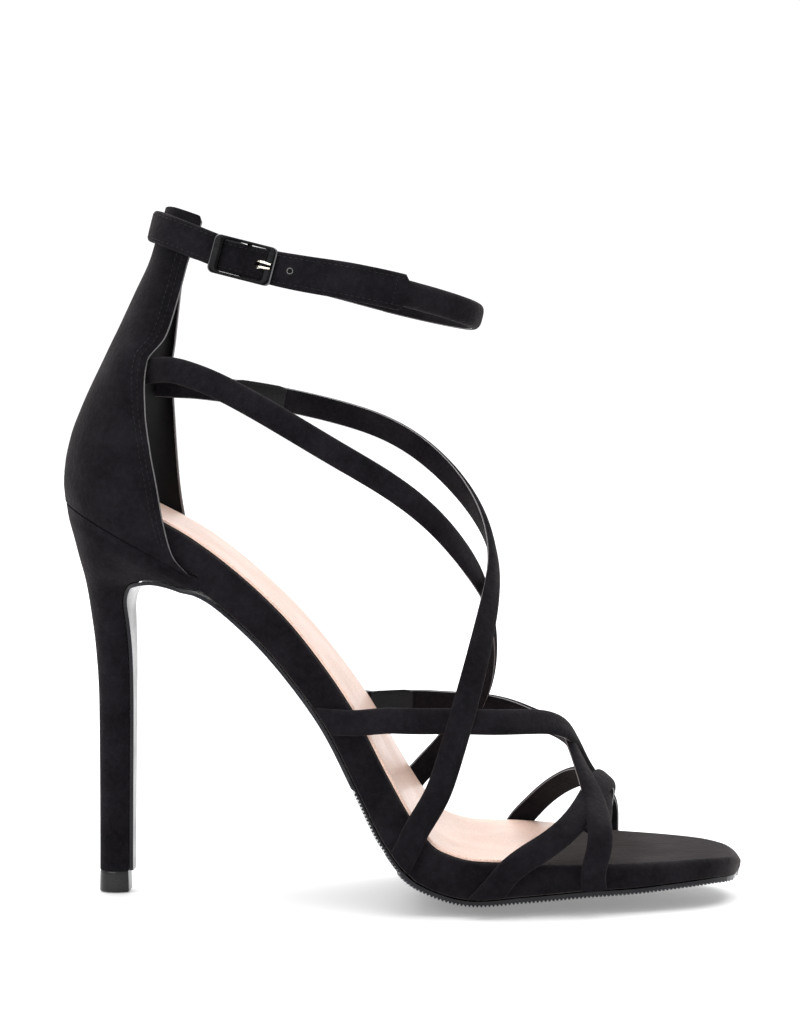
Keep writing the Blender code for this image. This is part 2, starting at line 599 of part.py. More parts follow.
def counter_point(row, share, depth):
    """A point of the counter: share of the way from the back (0) to an edge (-1 or 1), and depth
    under its outer face."""
    back = counter_end(row, "back", "back_up")
    front = counter_end(row, "medial" if share > 0 else "lateral", "front_up")
    length = np.linalg.norm(front - back)
    ahead = (front - back) / length
    half = COUNTER["half"][row] * SEAT_WIDTH - depth
    forward, out = seat_curve(abs(share), half, half * COUNTER_FRONT, COUNTER["widest"][row])
    spot = back + ahead * (depth + forward * (length - depth))
    return np.array([spot[0], math.copysign(out, share), spot[1]])


def build_counter(look):
    shares = [-1.0, -0.87, -0.73, -0.6, -0.5, -0.4, -0.28, -0.14]
    shares = shares + [0.0] + [-share for share in reversed(shares)]
    rows = range(len(COUNTER["back"]))
    grids = [[[counter_point(row, share, depth) for share in shares] for row in rows]
             for depth in (0.0, COUNTER_WALL)]
    return finish("heel_counter", shell(*grids), look)


def path_through(rows, place):
    """Read a route smoothly: a function from distance to its row values, and its whole length."""
    spots = np.array([place(row) for row in rows])
    marks = np.concatenate(([0.0], np.cumsum(np.linalg.norm(np.diff(spots, axis=0), axis=1))))
    columns = list(zip(*rows))

    def at(distance):
        return [hermite(marks, column, distance) for column in columns]
    return at, marks[-1]


def strap_section(width, thickness, padded):
    """A strap's section: across and out, from a flat band (0) to a padded cord (1)."""
    side, top = 0.34 - 0.10 * padded, 0.47 - 0.19 * padded
    corners = ((-top, -0.5), (top, -0.5), (0.5, -side), (0.5, side), (top, 0.5), (-top, 0.5), (-0.5, side),
               (-0.5, -side))
    return [(across_share * width, out * thickness) for across_share, out in corners]


def sweep(spots, normals, sections, edges=None):
    """A strap through spots, with its face turned along the normals. Where edges gives a direction,
    the section is slanted along it without making the strap wider."""
    rings = []
    for k, spot in enumerate(spots):
        ahead = unit(spots[min(k + 1, len(spots) - 1)] - spots[max(k - 1, 0)])
        out = unit(normals[k] - ahead * np.dot(normals[k], ahead))
        over = np.cross(out, ahead)
        if edges and edges[k] is not None:
            over = over + ahead * np.dot(edges[k], ahead) / np.dot(edges[k], over)
        rings.append([spot + over * a + out * b for a, b in sections[k]])
    return loft(rings)


def last_spot(row):
    """Centre of a strap over the last."""
    along, around, lift = row
    rise = STRAP_THICKNESS * (0.5 + lift)
    return last_point(along, around) + last_normal(along, around) * rise


def build_strap(name, route, look):
    at, length = path_through(route, lambda row: last_point(row[0], row[1]))
    count = max(4, round(length / STRAP_STEP))
    rows = [at(length * k / count) for k in range(count + 1)]
    section = strap_section(STRAP_WIDTH, STRAP_THICKNESS, STRAP_PADDING)
    edges = [last_forward(row[0], row[1]) if abs(row[1]) > FEATHER_CUT else None for row in rows]
    mesh = sweep([last_spot(row) for row in rows], [last_normal(row[0], row[1]) for row in rows],
                 [section] * len(rows), edges)
    return finish(name, mesh, look)


def join(first, others, solver="EXACT"):
    """Unite solids into the first one; the others stay as hidden operands."""
    for other in others:
        union = first.modifiers.new(other.name, "BOOLEAN")
        union.operation = "UNION"
        union.solver = solver
        union.object = other
        other.hide_render = True
        other.display_type = "WIRE"


def build_upper(look):
    """The six straps as one solid. Where they graze each other the exact solver leaves open edges."""
    straps = [build_strap(name, route, look) for name, route in STRAPS.items()]
    upper = straps[0]
    upper.name = "upper_straps"
    join(upper, straps[1:], "MANIFOLD")
    return upper


def ankle_axes():
    """The ankle loop's origin at the counter's back, and its forward, medial and upward axes."""
    row = len(COUNTER["back"]) - 2
    back = counter_end(row, "back", "back_up")
    tilt = math.radians(ANKLE_TILT)
    forward = np.array([math.cos(tilt), 0.0, -math.sin(tilt)])
    up = np.array([math.sin(tilt), 0.0, math.cos(tilt)])
    origin = np.array([back[0], 0.0, back[1]]) - forward * (GAP * 2 + BAND_THICKNESS / 2)
    return origin, forward, np.array([0.0, 1.0, 0.0]), up


def ankle_spot(row):
    origin, forward, medial, up = ankle_axes()
    return (origin + forward * row[0] * ANKLE_LENGTH + medial * row[1] * ANKLE_WIDTH
            + up * row[2] * BAND_WIDTH)


def ankle_frame(distance):
    """Place, forward, outward and upward directions of the ankle strap at a distance from its
    free end, measured along it."""
    at, length = path_through(ANKLE, ankle_spot)
    spot = ankle_spot(at(length - distance))
    ahead = unit(ankle_spot(at(length - distance - ANKLE_NEARBY))
                 - ankle_spot(at(length - distance + ANKLE_NEARBY)))
    out = unit(np.cross(ahead, ankle_axes()[3]))
    return spot, ahead, out, np.cross(out, ahead)


def box(name, frame, centre, size, look):
    """A box in a local frame of place, ahead, outward and up."""
    spot, ahead, out, up = frame
    mesh = bmesh.new()
    bmesh.ops.create_cube(mesh, size=1.0)
    for vert in mesh.verts:
        a, b, c = (centre[k] + vert.co[k] * size[k] for k in range(3))
        vert.co = tuple(spot + ahead * a + out * b + up * c)
    return finish(name, mesh, look)


def carve(thing, cutters):
    for cutter in cutters:
        cut = thing.modifiers.new(cutter.name, "BOOLEAN")
        cut.operation = "DIFFERENCE"
        cut.solver = "EXACT"
        cut.object = cutter
        cutter.hide_render = True
        cutter.display_type = "WIRE"


def build_ankle_strap(look):
    at, length = path_through(ANKLE, ankle_spot)
    count = round(length / ANKLE_STEP)
    rows = [at(length * k / count) for k in range(count + 1)]
    spots = [ankle_spot(row) for row in rows]
    up = ankle_axes()[3]
    normals = [np.cross(up, spots[min(k + 1, count)] - spots[max(k - 1, 0)]) for k in range(count + 1)]
    sections = []
    for row in rows:
        padded = min(max(row[4], 0.0), 1.0)
        thick = BAND_THICKNESS + (CORD_THICKNESS - BAND_THICKNESS) * padded
        sections.append(strap_section(row[3] * BAND_WIDTH, thick, padded * CORD_PADDING))
    strap = finish("ankle_strap", sweep(spots, normals, sections), look)
    frame = ankle_frame(TAIL_PAST_BUCKLE)
    climb = prong_climb()
    slot = box("prong_slot", frame, ((climb[0] + climb[1]) / 2, 0.0, 0.0),
               (climb[1] - climb[0] + PRONG_THICKNESS, 2 * BAND_THICKNESS, PRONG_WIDTH + 2 * GAP), look)
    holes = [slot]
    for k in range(1, HOLE_COUNT):
        holes.append(drill("strap_hole_%d" % k, ankle_frame(TAIL_PAST_BUCKLE + climb[0] + k * HOLE_PITCH), look))
    carve(strap, holes)
    return strap


def drill(name, frame, look):
    """A round cutter through the band."""
    spot, ahead, out, up = frame
    rings = []
    for side in (-1, 1):
        ring = []
        for k in range(HOLE_SIDES):
            turn = 2 * math.pi * k / HOLE_SIDES
            ring.append(spot + out * side * BAND_THICKNESS + ahead * HOLE_RADIUS * math.cos(turn)
                        + up * HOLE_RADIUS * math.sin(turn))
        rings.append(ring)
    return finish(name, loft(rings), look)


def prong_climb():
    """Where the prong leaves the strap's underside and where it has risen over the frame's front
    bar, ahead of the buckle's middle."""
    end = BUCKLE_LENGTH / 2 - BUCKLE_BAR - GAP
    return end - PRONG_CLIMB, end


def bar_depth():
    """How far the centre bar's middle lies under the strap's middle."""
    return BAND_THICKNESS / 2 + GAP + BUCKLE_DEPTH / 2


def build_buckle(look):
    """A rectangular frame over the strap, with a centre bar under it on two short posts."""
    frame = ankle_frame(TAIL_PAST_BUCKLE)
    height = BAND_WIDTH + 2 * (GAP + BUCKLE_RAIL)
    face = bar_depth()
    ring = box("buckle_frame", frame, (0.0, face, 0.0), (BUCKLE_LENGTH, BUCKLE_DEPTH, height), look)
    window = box("buckle_window", frame, (0.0, face, 0.0),
                 (BUCKLE_LENGTH - 2 * BUCKLE_BAR, 3 * BUCKLE_DEPTH, BAND_WIDTH + 2 * GAP), look)
    carve(ring, [window])
    parts = [box("buckle_bar", frame, (0.0, -face, 0.0), (BUCKLE_POST, BUCKLE_DEPTH, height), look)]
    for side in (-1, 1):
        centre = side * (height - BUCKLE_RAIL) / 2
        parts.append(box("buckle_post_%d" % (side + 1), frame, (0.0, 0.0, centre),
                         (BUCKLE_POST * POST_SHARE, 2 * face, BUCKLE_RAIL * POST_SHARE), look))
    join(ring, parts)
    return ring


def build_prong(look):
    """The buckle's tongue: from the centre bar under the strap, up through its hole and over the
    frame's front bar, where it rests."""
    spot, ahead, out, up = ankle_frame(TAIL_PAST_BUCKLE)
    under = -bar_depth()
    over = bar_depth() + (BUCKLE_DEPTH + PRONG_THICKNESS) / 2 + GAP
    climb = prong_climb()
    bend = PRONG_THICKNESS / 2
    line = [(BUCKLE_POST / 2 + GAP, under), (climb[0] - bend, under), (climb[0] + bend, under + bend),
            (climb[1] - bend * 2, over - bend), (climb[1] - bend, over), (climb[1] + PRONG_LAP, over)]
    rings = []
    for k, (a, b) in enumerate(line):
        run = unit(np.array(line[min(k + 1, len(line) - 1)]) - np.array(line[max(k - 1, 0)]))
        half = PRONG_THICKNESS / 2
        ring = []
        for over_side, side in ((-1, -1), (1, -1), (1, 1), (-1, 1)):
            place = (a - run[1] * half * side, b + run[0] * half * side)
            ring.append(spot + ahead * place[0] + out * place[1] + up * over_side * PRONG_WIDTH / 2)
        rings.append(ring)
    return finish("buckle_prong", loft(rings), look)


def main():
    for thing in list(bpy.data.objects):
        bpy.data.objects.remove(thing, do_unlink=True)
    suede = material("black_suede", (0.018, 0.017, 0.018), 0.85)
    lining = material("blush_lining", (0.80, 0.56, 0.46), 0.45)
    tread = material("black_sole", (0.020, 0.018, 0.021), 0.25)
    lift = material("black_plastic", (0.015, 0.015, 0.016), 0.2)
    metal = material("dark_metal", (0.10, 0.10, 0.11), 0.2, 1.0)
    pin = material("pale_metal", (0.60, 0.55, 0.48), 0.25, 1.0)
    build_outsole(tread)
    build_midsole(suede)
    build_sock(lining)
    build_heel(suede)
    build_top_lift(lift)
    build_counter(suede)
    build_upper(suede)
    build_ankle_strap(suede)
    build_buckle(metal)
    build_prong(pin)


if __name__ == "__main__":
    main()
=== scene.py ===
"""A strappy heeled sandal: its finished pieces, modelled round the packed solids.

Units are metres and +Z is up. The origin is the centre of the heel tip's bottom face, the toe points
to +X, and the medial side, next to the other foot, is +Y. Each piece is a grid laid out in rings that
follow the sandal's own lines, then sewn, capped and finished with edit operators and modifiers."""

import functools
import json
import math

import bpy
import numpy as np
from mathutils import Matrix, Vector

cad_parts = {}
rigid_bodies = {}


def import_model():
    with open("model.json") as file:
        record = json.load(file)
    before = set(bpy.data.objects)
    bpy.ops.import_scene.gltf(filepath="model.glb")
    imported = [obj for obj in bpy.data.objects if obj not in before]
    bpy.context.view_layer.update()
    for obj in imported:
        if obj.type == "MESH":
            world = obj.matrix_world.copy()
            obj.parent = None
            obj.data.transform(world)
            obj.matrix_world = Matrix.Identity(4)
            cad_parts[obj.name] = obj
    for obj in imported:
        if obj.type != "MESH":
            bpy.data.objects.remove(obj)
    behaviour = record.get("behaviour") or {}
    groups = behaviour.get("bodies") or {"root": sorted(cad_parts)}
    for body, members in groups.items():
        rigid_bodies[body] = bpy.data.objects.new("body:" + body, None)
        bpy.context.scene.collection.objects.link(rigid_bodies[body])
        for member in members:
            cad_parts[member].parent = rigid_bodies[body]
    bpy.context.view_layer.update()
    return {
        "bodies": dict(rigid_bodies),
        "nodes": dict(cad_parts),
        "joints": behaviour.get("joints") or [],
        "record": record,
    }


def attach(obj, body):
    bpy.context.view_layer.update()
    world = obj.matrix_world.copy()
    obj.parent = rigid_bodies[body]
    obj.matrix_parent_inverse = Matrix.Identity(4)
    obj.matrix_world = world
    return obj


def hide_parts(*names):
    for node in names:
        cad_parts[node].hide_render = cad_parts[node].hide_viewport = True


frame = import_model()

bl_info = {
    "name": "Heeled sandal",
    "version": (1, 0, 0),
    "blender": (4, 5, 0),
    "location": "3D View > Sidebar > Sandal",
    "description": "Models a strappy heeled sandal piece by piece",
    "category": "Add Mesh",
}

# Driving sizes of the sole, in metres
SOLE_LENGTH = 0.1951
BALL_WIDTH = 0.080
SEAT_RISE = 0.107
SEAT_BACK = -0.0142
PLATFORM = 0.0137
WALL_BULGE = 0.0002
OUTSOLE = 0.0015
ARCH_SHARE = 0.7
SOCK = 0.0008
SOCK_INSET = 0.0014
SOCK_LENGTH = 0.139
SOCK_SLANT = 0.011

# Driving sizes of the heel and the counter
HEEL_HEIGHT = 0.113
SEAT_WIDTH = 0.053
SEAT_LENGTH = 0.0394
SEAT_DROP = 0.0215
TOP_LIFT = 0.006
COUNTER_HEIGHT = 0.0845
COUNTER_WALL = 0.002

# Driving sizes of the straps
INSTEP_RISE = 0.110
STRAP_WIDTH = 0.0072
STRAP_THICKNESS = 0.0025
ANKLE_LENGTH = 0.0965
ANKLE_WIDTH = 0.055
ANKLE_TILT = 14.0
BAND_WIDTH = 0.0086
BAND_THICKNESS = 0.0018
CORD_THICKNESS = 0.0030
STRAP_PADDING = 0.75
CORD_PADDING = 0.8

# Driving sizes of the buckle
BUCKLE_LENGTH = 0.0187
BUCKLE_BAR = 0.0028
BUCKLE_RAIL = 0.0009
BUCKLE_POST = 0.0014
BUCKLE_DEPTH = 0.0012
PRONG_WIDTH = 0.0022
PRONG_THICKNESS = 0.0010
PRONG_CLIMB = 0.0026
PRONG_LAP = 0.0022
TAIL_PAST_BUCKLE = 0.0088
HOLE_PITCH = 0.0099
HOLE_RADIUS = 0.0008
HOLE_COUNT = 2

# Radius of the platform's upper edge behind the ball and at the toe, and the radius of its lower edge
# (of the upper one); the upper edge grows rounder between these two places (along)
EDGE_ROUND = 0.0012
TOE_ROUND = 0.0026
FEATHER_ROUND = 0.4
ROUNDER_FROM = 0.60
ROUNDER_TO = 0.88

# Clearances between pieces, and how deep the worn flat of the tread goes
GAP = 0.0003
EDGE_CLEARANCE = 0.0007
TREAD_FLAT = 0.0006

# The footbed's height at the ball, over the floor
FOREFOOT_TOP = PLATFORM + OUTSOLE + GAP - TREAD_FLAT

# The platform's sections stand upright up to the first of these places (along), and square to the
# footbed from the second one on
UPRIGHT_TO = 0.08
SQUARE_FROM = 0.22

# Past the seat the platform comes down to its full depth within this length, and may widen by this
# much of the distance
SEAT_STEP = 0.003
SEAT_FLARE = 0.5

# The toe's nose is rounded from this place (along) on: how much of the platform's thickness it loses
# from its top and from its base at the very tip
NOSE_FROM = 0.972
NOSE_TOP = 0.45
NOSE_BASE = 0.18

# A rounded edge takes at most this share of its half-width and of its wall
EDGE_LIMIT = 0.4

# How fast a crowned face rises towards its edges, and how far across a section a flat face reaches
CROWN_POWER = 2.4
FLAT_REACH = 0.965

# Straps that run down the platform's wall are cut along the feather line; their sections turn that
# way from this place (around) on, within this distance (around)
FEATHER_CUT = 1.6
FEATHER_FADE = 0.2

# The share of a seat-shaped section's outline that is its round back
ROUND_SHARE = 0.6

# The heel's sections: where they are widest, how far back the breast's corners lie (both of the
# section's length), how far those corners stand out and where the crowned breast meets them (both of
# the breast's half-width)
HEEL_WIDEST = 0.55
CORNER_BACK = 0.02
CORNER_OUT = 1.02
BREAST_REACH = 0.95

# The counter's half-width at its front edges (of the widest one)
COUNTER_FRONT = 0.98

# The short distances, along and around the last, to each side of a place where a direction is taken
NEARBY = 0.004
NEARBY_AROUND = 0.02

# The distance to each side of a place where the ankle strap's direction is taken
ANKLE_NEARBY = 0.002

# The platform's sections: how many; they start this far (along) past the counter's wall, stand closer
# at both ends by this power, and keep this far (along) from those at the seat's step
SOLE_SECTIONS = 120
FIRST_SECTION = 0.002
END_POWER = 0.85
SECTION_GAP = 0.001

# The seat's step is looked for between these places (along), in steps of this size, and has sections
# between these two places (of SEAT_STEP)
STEP_SEARCH = (0.12, 0.35, 0.002)
STEP_REACH = (-0.5, 1.5)

# The footbed lining: how many sections, which of the platform's sections it starts at, and the radius
# of its edge (of SOCK)
SOCK_SECTIONS = 100
SOCK_START = 3
SOCK_ROUND = 0.45

# The footbed's centre line and the platform under it: along from the seat's back (of SOLE_LENGTH), up
# over the forefoot (of SEAT_RISE), thickness at the centre and crown of the underside (of PLATFORM),
# half-widths (of BALL_WIDTH)
SOLE = {
    "along": (0.00, 0.08, 0.13, 0.19, 0.245, 0.33, 0.39, 0.44, 0.485, 0.525, 0.56, 0.61,
              0.68, 0.75, 0.84, 0.90, 0.945, 0.975, 0.991, 1.00),
    "up": (1.002, 0.936, 0.891, 0.832, 0.762, 0.624, 0.494, 0.362, 0.210, 0.090, 0.025, 0.000,
           -0.005, -0.011, -0.013, -0.013, -0.014, -0.018, -0.022, -0.026),
    "thick": (0.82, 0.82, 0.82, 0.82, 0.83, 0.83, 0.81, 0.78, 0.81, 0.91, 0.98, 1.00,
              0.915, 0.785, 0.645, 0.56, 0.50, 0.46, 0.44, 0.42),
    "crown": (0.00, 0.00, 0.00, 0.00, 0.09, 0.14, 0.16, 0.16, 0.17, 0.20, 0.23, 0.25,
              0.28, 0.26, 0.17, 0.14, 0.12, 0.09, 0.05, 0.02),
    "lateral": (0.310, 0.310, 0.310, 0.308, 0.303, 0.314, 0.345, 0.385, 0.427, 0.462, 0.484, 0.495,
                0.484, 0.446, 0.382, 0.322, 0.258, 0.182, 0.100, 0.016),
    "medial": (0.310, 0.310, 0.310, 0.298, 0.272, 0.248, 0.268, 0.312, 0.366, 0.420, 0.460, 0.500,
               0.514, 0.492, 0.420, 0.345, 0.268, 0.182, 0.100, 0.016),
}

# The last over the footbed: where each section's ridge stands along (of SOLE_LENGTH) and up over the
# forefoot (of INSTEP_RISE), and the last's half-widths there (of BALL_WIDTH)
LAST = {
    "along": (0.00, 0.10, 0.22, 0.33, 0.43, 0.49, 0.55, 0.61, 0.69, 0.77, 0.85, 0.92, 1.00),
    "ridge_along": (0.40, 0.55, 0.595, 0.611, 0.634, 0.683, 0.730, 0.768, 0.817, 0.865, 0.910, 0.955, 1.00),
    "ridge_up": (1.80, 1.52, 1.16, 0.90, 0.683, 0.473, 0.295, 0.183, 0.112, 0.085, 0.065, 0.050, 0.035),
    "lateral": (0.34, 0.375, 0.405, 0.415, 0.425, 0.455, 0.485, 0.505, 0.495, 0.450, 0.385, 0.30, 0.05),
    "medial": (0.34, 0.370, 0.385, 0.370, 0.365, 0.410, 0.465, 0.510, 0.525, 0.500, 0.420, 0.32, 0.05),
}

# The heel from the tip up: the back and front ends of each section along (of SEAT_LENGTH, from the
# tip's centre) and up (of the height over the top lift), the half-width at the widest place and at
# the breast, and the crown of the breast (all three of SEAT_WIDTH)
HEEL = {
    "along": (0, 1, 2, 3, 4, 5, 6, 7, 8, 9, 10),
    "back": (-0.110, -0.110, -0.114, -0.137, -0.166, -0.203, -0.244, -0.287, -0.325, -0.337, -0.345),
    "back_up": (0.0, 0.222, 0.456, 0.604, 0.694, 0.784, 0.845, 0.906, 0.958, 0.980, 1.0),
    "front": (0.110, 0.114, 0.120, 0.118, 0.106, 0.100, 0.178, 0.358, 0.535, 0.658, 0.655),
    "front_up": (0.0, 0.222, 0.456, 0.578, 0.663, 0.738, 0.780, 0.788, 0.774, 0.764, 0.7985),
    "half": (0.084, 0.089, 0.099, 0.125, 0.166, 0.236, 0.320, 0.405, 0.462, 0.478, 0.486),
    "breast": (0.064, 0.069, 0.079, 0.102, 0.140, 0.205, 0.285, 0.365, 0.410, 0.440, 0.455),
    "crown": (0.0, 0.0, 0.0, 0.0, 0.0, 0.004, 0.012, 0.020, 0.028, 0.028, 0.010),
}

# The counter from the seam up: the back edge and the lateral and medial front edges along (of
# SEAT_LENGTH, from the tip's centre) and up over the seam's back (of COUNTER_HEIGHT), the half-width
# (of SEAT_WIDTH), and where it is widest (of the section's own length)
COUNTER = {
    "back": (-0.350, -0.361, -0.350, -0.305, -0.231, -0.150, -0.079, -0.018, 0.053, 0.162, 0.269,
             0.320, 0.386),
    "back_up": (0.0, 0.065, 0.130, 0.225, 0.314, 0.396, 0.462, 0.521, 0.592, 0.702, 0.809, 0.888, 1.00),
    "lateral": (0.629, 0.510, 0.444, 0.396, 0.350, 0.314, 0.307, 0.325, 0.446, 0.530, 0.596, 0.655, 0.688),
    "medial": (0.629, 0.510, 0.444, 0.402, 0.380, 0.365, 0.355, 0.355, 0.385, 0.425, 0.465, 0.510, 0.540),
    "front_up": (-0.250, -0.183, -0.075, 0.051, 0.168, 0.296, 0.396, 0.465, 0.544, 0.675, 0.800,
                 0.886, 0.950),
    "half": (0.500, 0.508, 0.510, 0.510, 0.508, 0.495, 0.478, 0.455, 0.415, 0.365, 0.325, 0.302, 0.282),
    "widest": (0.62, 0.68, 0.76, 0.82, 0.84, 0.86, 0.86, 0.86, 0.84, 0.82, 0.80, 0.78, 0.78),
}

# The six straps of the upper, each a route of (along, around, lift): along the footbed (of its length),
# around the last from the lateral edge of the footbed (-1) over the ridge (0) to the medial edge (1)
# and on to the feather line (2), and the lift over the last (of STRAP_THICKNESS)
STRAPS = {
    "heel_lateral_to_ball_medial": (
        (0.0145, -0.780, -1.95), (0.040, -0.74, -0.7), (0.097, -0.70, 0.0), (0.197, -0.60, 0.0),
        (0.275, -0.47, 0.0), (0.350, -0.34, 0.0), (0.407, -0.25, -0.3), (0.436, -0.06, -1.6),
        (0.460, 0.22, -1.9), (0.488, 0.52, -0.4), (0.505, 0.74, 0.8), (0.511, 0.93, 0.8),
        (0.513, 1.20, 0.2), (0.524, 1.92, 0.0)),
    "heel_medial_to_ball_lateral": (
        (0.024, 0.785, -2.08), (0.072, 0.72, -1.3), (0.150, 0.59, 0.0), (0.216, 0.43, 0.0),
        (0.288, 0.28, 0.0), (0.350, 0.12, 0.2), (0.408, -0.05, 0.5), (0.441, -0.27, 0.5),
        (0.463, -0.46, 0.6), (0.486, -0.64, 0.9), (0.508, -0.79, 0.6), (0.524, -0.94, 0.2),
        (0.532, -1.21, 0.0), (0.541, -1.92, 0.0)),
    "waist_lateral_to_toe_medial": (
        (0.430, -1.92, 0.0), (0.440, -1.34, 0.0), (0.447, -0.98, 0.0), (0.467, -0.80, 0.0),
        (0.484, -0.66, 0.0), (0.504, -0.51, 0.0), (0.528, -0.29, 0.5), (0.548, -0.10, 0.6),
        (0.570, 0.06, 0.6), (0.610, 0.20, 0.6), (0.680, 0.38, 0.6), (0.750, 0.63, 0.6),
        (0.795, 0.92, 0.6), (0.806, 1.25, 0.3), (0.808, 1.92, 0.0)),
    "waist_medial_to_toe_lateral": (
        (0.430, 1.92, 0.0), (0.437, 1.40, 0.0), (0.444, 1.05, 0.0), (0.464, 0.84, 0.0),
        (0.485, 0.68, 0.0), (0.511, 0.48, 0.0), (0.536, 0.31, 0.0), (0.558, 0.10, 0.0),
        (0.578, -0.06, 0.1), (0.606, -0.18, 0.4), (0.646, -0.32, 0.6), (0.703, -0.54, 0.6),
        (0.758, -0.86, 0.6), (0.772, -1.25, 0.3), (0.776, -1.92, 0.0)),
    "ball_lateral_to_toe_medial": (
        (0.628, -1.92, 0.0), (0.650, -1.41, 0.0), (0.663, -0.92, 0.0), (0.663, -0.71, 0.0),
        (0.650, -0.44, 0.0), (0.638, -0.24, 0.3), (0.640, -0.03, 0.8), (0.662, 0.18, 0.5),
        (0.712, 0.48, 0.0), (0.765, 0.75, 0.0)),
    "ball_medial_to_toe_lateral": (
        (0.655, 1.92, 0.0), (0.664, 1.35, 0.0), (0.664, 0.96, 0.0), (0.645, 0.75, 0.0),
        (0.629, 0.53, 0.0), (0.625, 0.33, 0.0), (0.632, 0.12, -0.1), (0.644, -0.06, -0.2),
        (0.662, -0.26, -0.1), (0.692, -0.49, 0.0), (0.735, -0.74, 0.0)),
}

# The ankle strap, a route from the buckle's centre bar round the back, the medial side and the front
# to its free end under the buckle: forward of the counter's back (of ANKLE_LENGTH), across (of
# ANKLE_WIDTH), up over the back (of BAND_WIDTH), width (of BAND_WIDTH), and padding from a flat band
# (0) to a round cord (1)
ANKLE = (
    (0.304, -0.420, -0.13, 1.00, 0.0), (0.206, -0.392, 0.02, 1.00, 0.0), (0.120, -0.368, 0.16, 1.00, 0.0),
    (0.074, -0.350, 0.23, 1.00, 0.0), (0.031, -0.270, 0.30, 1.00, 0.0), (0.007, -0.137, 0.34, 1.00, 0.0),
    (0.000, 0.000, 0.36, 1.00, 0.0), (0.007, 0.137, 0.37, 1.00, 0.0), (0.031, 0.270, 0.35, 1.00, 0.0),
    (0.074, 0.350, 0.28, 0.98, 0.0), (0.120, 0.376, 0.22, 0.94, 0.1), (0.206, 0.408, 0.16, 0.87, 0.6),
    (0.317, 0.465, 0.10, 0.82, 1.0), (0.467, 0.490, 0.06, 0.81, 1.0), (0.592, 0.475, 0.03, 0.81, 1.0),
    (0.698, 0.450, 0.00, 0.81, 1.0), (0.771, 0.415, -0.01, 0.81, 1.0), (0.877, 0.325, -0.01, 0.81, 1.0),
    (0.945, 0.225, 0.00, 0.81, 1.0), (0.987, 0.110, 0.01, 0.81, 1.0), (1.000, 0.000, 0.04, 0.81, 1.0),
    (0.987, -0.118, 0.06, 0.81, 1.0), (0.948, -0.245, 0.08, 0.81, 1.0), (0.868, -0.360, 0.10, 0.81, 1.0),
    (0.825, -0.405, 0.10, 0.83, 1.0), (0.790, -0.437, 0.10, 1.15, 0.0), (0.634, -0.492, 0.03, 1.16, 0.0),
    (0.490, -0.504, -0.10, 1.12, 0.0), (0.420, -0.491, -0.14, 1.08, 0.0), (0.317, -0.4636, -0.14, 1.00, 0.0),
    (0.225, -0.4388, -0.12, 1.00, 0.0),
)

# Lengths of the visible pieces that the solids leave out: the distance between a strap's rings, and
# over how many rings its bends are eased
FINE_STEP = 0.0012
STRAP_EASE = 3

# The two long heel straps are eased over this many rings instead. That fades in within their first
# rings, and out up to this place around the last, within this distance (around)
CALM_EASE = 8
CALM_START = 12
CALM_TO = 0.85
CALM_FADE = 0.2

# A strap's section: its face has points at these shares of the half-width and comes down to this far
# (of the thickness) under the middle of the thickness. The two powers of its curve, for a flat band
# and for a round cord, say how flat it is and how round its edges are
FACE_SHARES = (1.0, 0.985, 0.95, 0.9, 0.84, 0.79, 0.74, 0.69, 0.6, 0.45, 0.25, 0.0)
EDGE_DROP = 0.22
BAND_POWERS = (7.0, 0.42)
CORD_POWERS = (2.3, 0.52)

# The groove along a flat band's seam: how deep (of the thickness) and how wide (of the half-width)
SEAM_GROOVE = 0.06
SEAM_WIDTH = 0.035

# The two heel straps begin behind the counter's edge: over how many rings, how deep, how thin, and
# within how many rings they come out and are thick again
TUCK_STEPS = 5
TUCK_DEPTH = 0.0018
TUCK_THIN = 0.5
TUCK_OUT = 5
TUCK_THICK = 4

# The two heel straps' first rings are raised by these distances, fading over this many rings, and the
# last rings of the two short straps, which lie under other straps, are left out
START_RAISED = {"heel_lateral_to_ball_medial": 0.0025, "heel_medial_to_ball_lateral": 0.0015}
RAISED_STEPS = 34
HIDDEN_STEPS = 5

# The counter: its points across and its rows, how thick its suede and its lining are, how deep the
# lining lies under the outer face, the bevel of its rim, and how far the lining reaches past its edge
COUNTER_COLUMNS = 73
COUNTER_ROWS = 90
SUEDE_WALL = 0.0014
LINING_WALL = 0.0005
LINING_DEPTH = 0.00145
RIM_BEVEL = 0.0004
LINING_REACH = 0.0002

# The counter's top corners are rounded from this row on: how far across they reach (back and front,
# shares of the outline) and how deep they fall
CORNER_ROW = 10.8
CORNER_REACH = (0.45, 0.10)
CORNER_DROP = (0.0016, 0.0016)

# The counter's rows of stitches: how far behind its front edge, and from which row up to which
STITCH_INSETS = (0.0019, 0.0036)
STITCH_ROWS = (1.2, 11.7)

# The outer sole's section: its points under it and over it, from its middle out and back in (shares
# of the half-width)
UNDER_SHARES = (0.0, 0.2, 0.4, 0.6, 0.75, 0.87)
OVER_SHARES = (FLAT_REACH, 0.8, 0.5, 0.2, 0.0)

# The outer sole: the distance (along) between its sections behind the ribs, where (of SEAT_STEP) it
# turns down the heel, at which row of the heel, and over how many sections that corner is eased
ARCH_STEP = 0.006
ARCH_END = 0.95
BREAST_ROW = 8.0
ARCH_EASE = 2

# The heel's rows: their distance, from which row on and within how many rows its cover laps over the
# platform, how far forward and how far down (of that), and how deep and within how many rows it turns
# in at its seam with the counter
HEEL_STEP = 0.1
LAP_FROM = 7.0
LAP_ROWS = 2.0
COVER_LAP = 0.0026
LAP_DROP = 0.15
SEAM_DEPTH = 0.0008
SEAM_ROWS = 0.2

# The rim round a punched hole: the radius of its roll, and how deep its middle lies in the strap
RIM_RADIUS = 0.00014
RIM_SINK = 0.00004

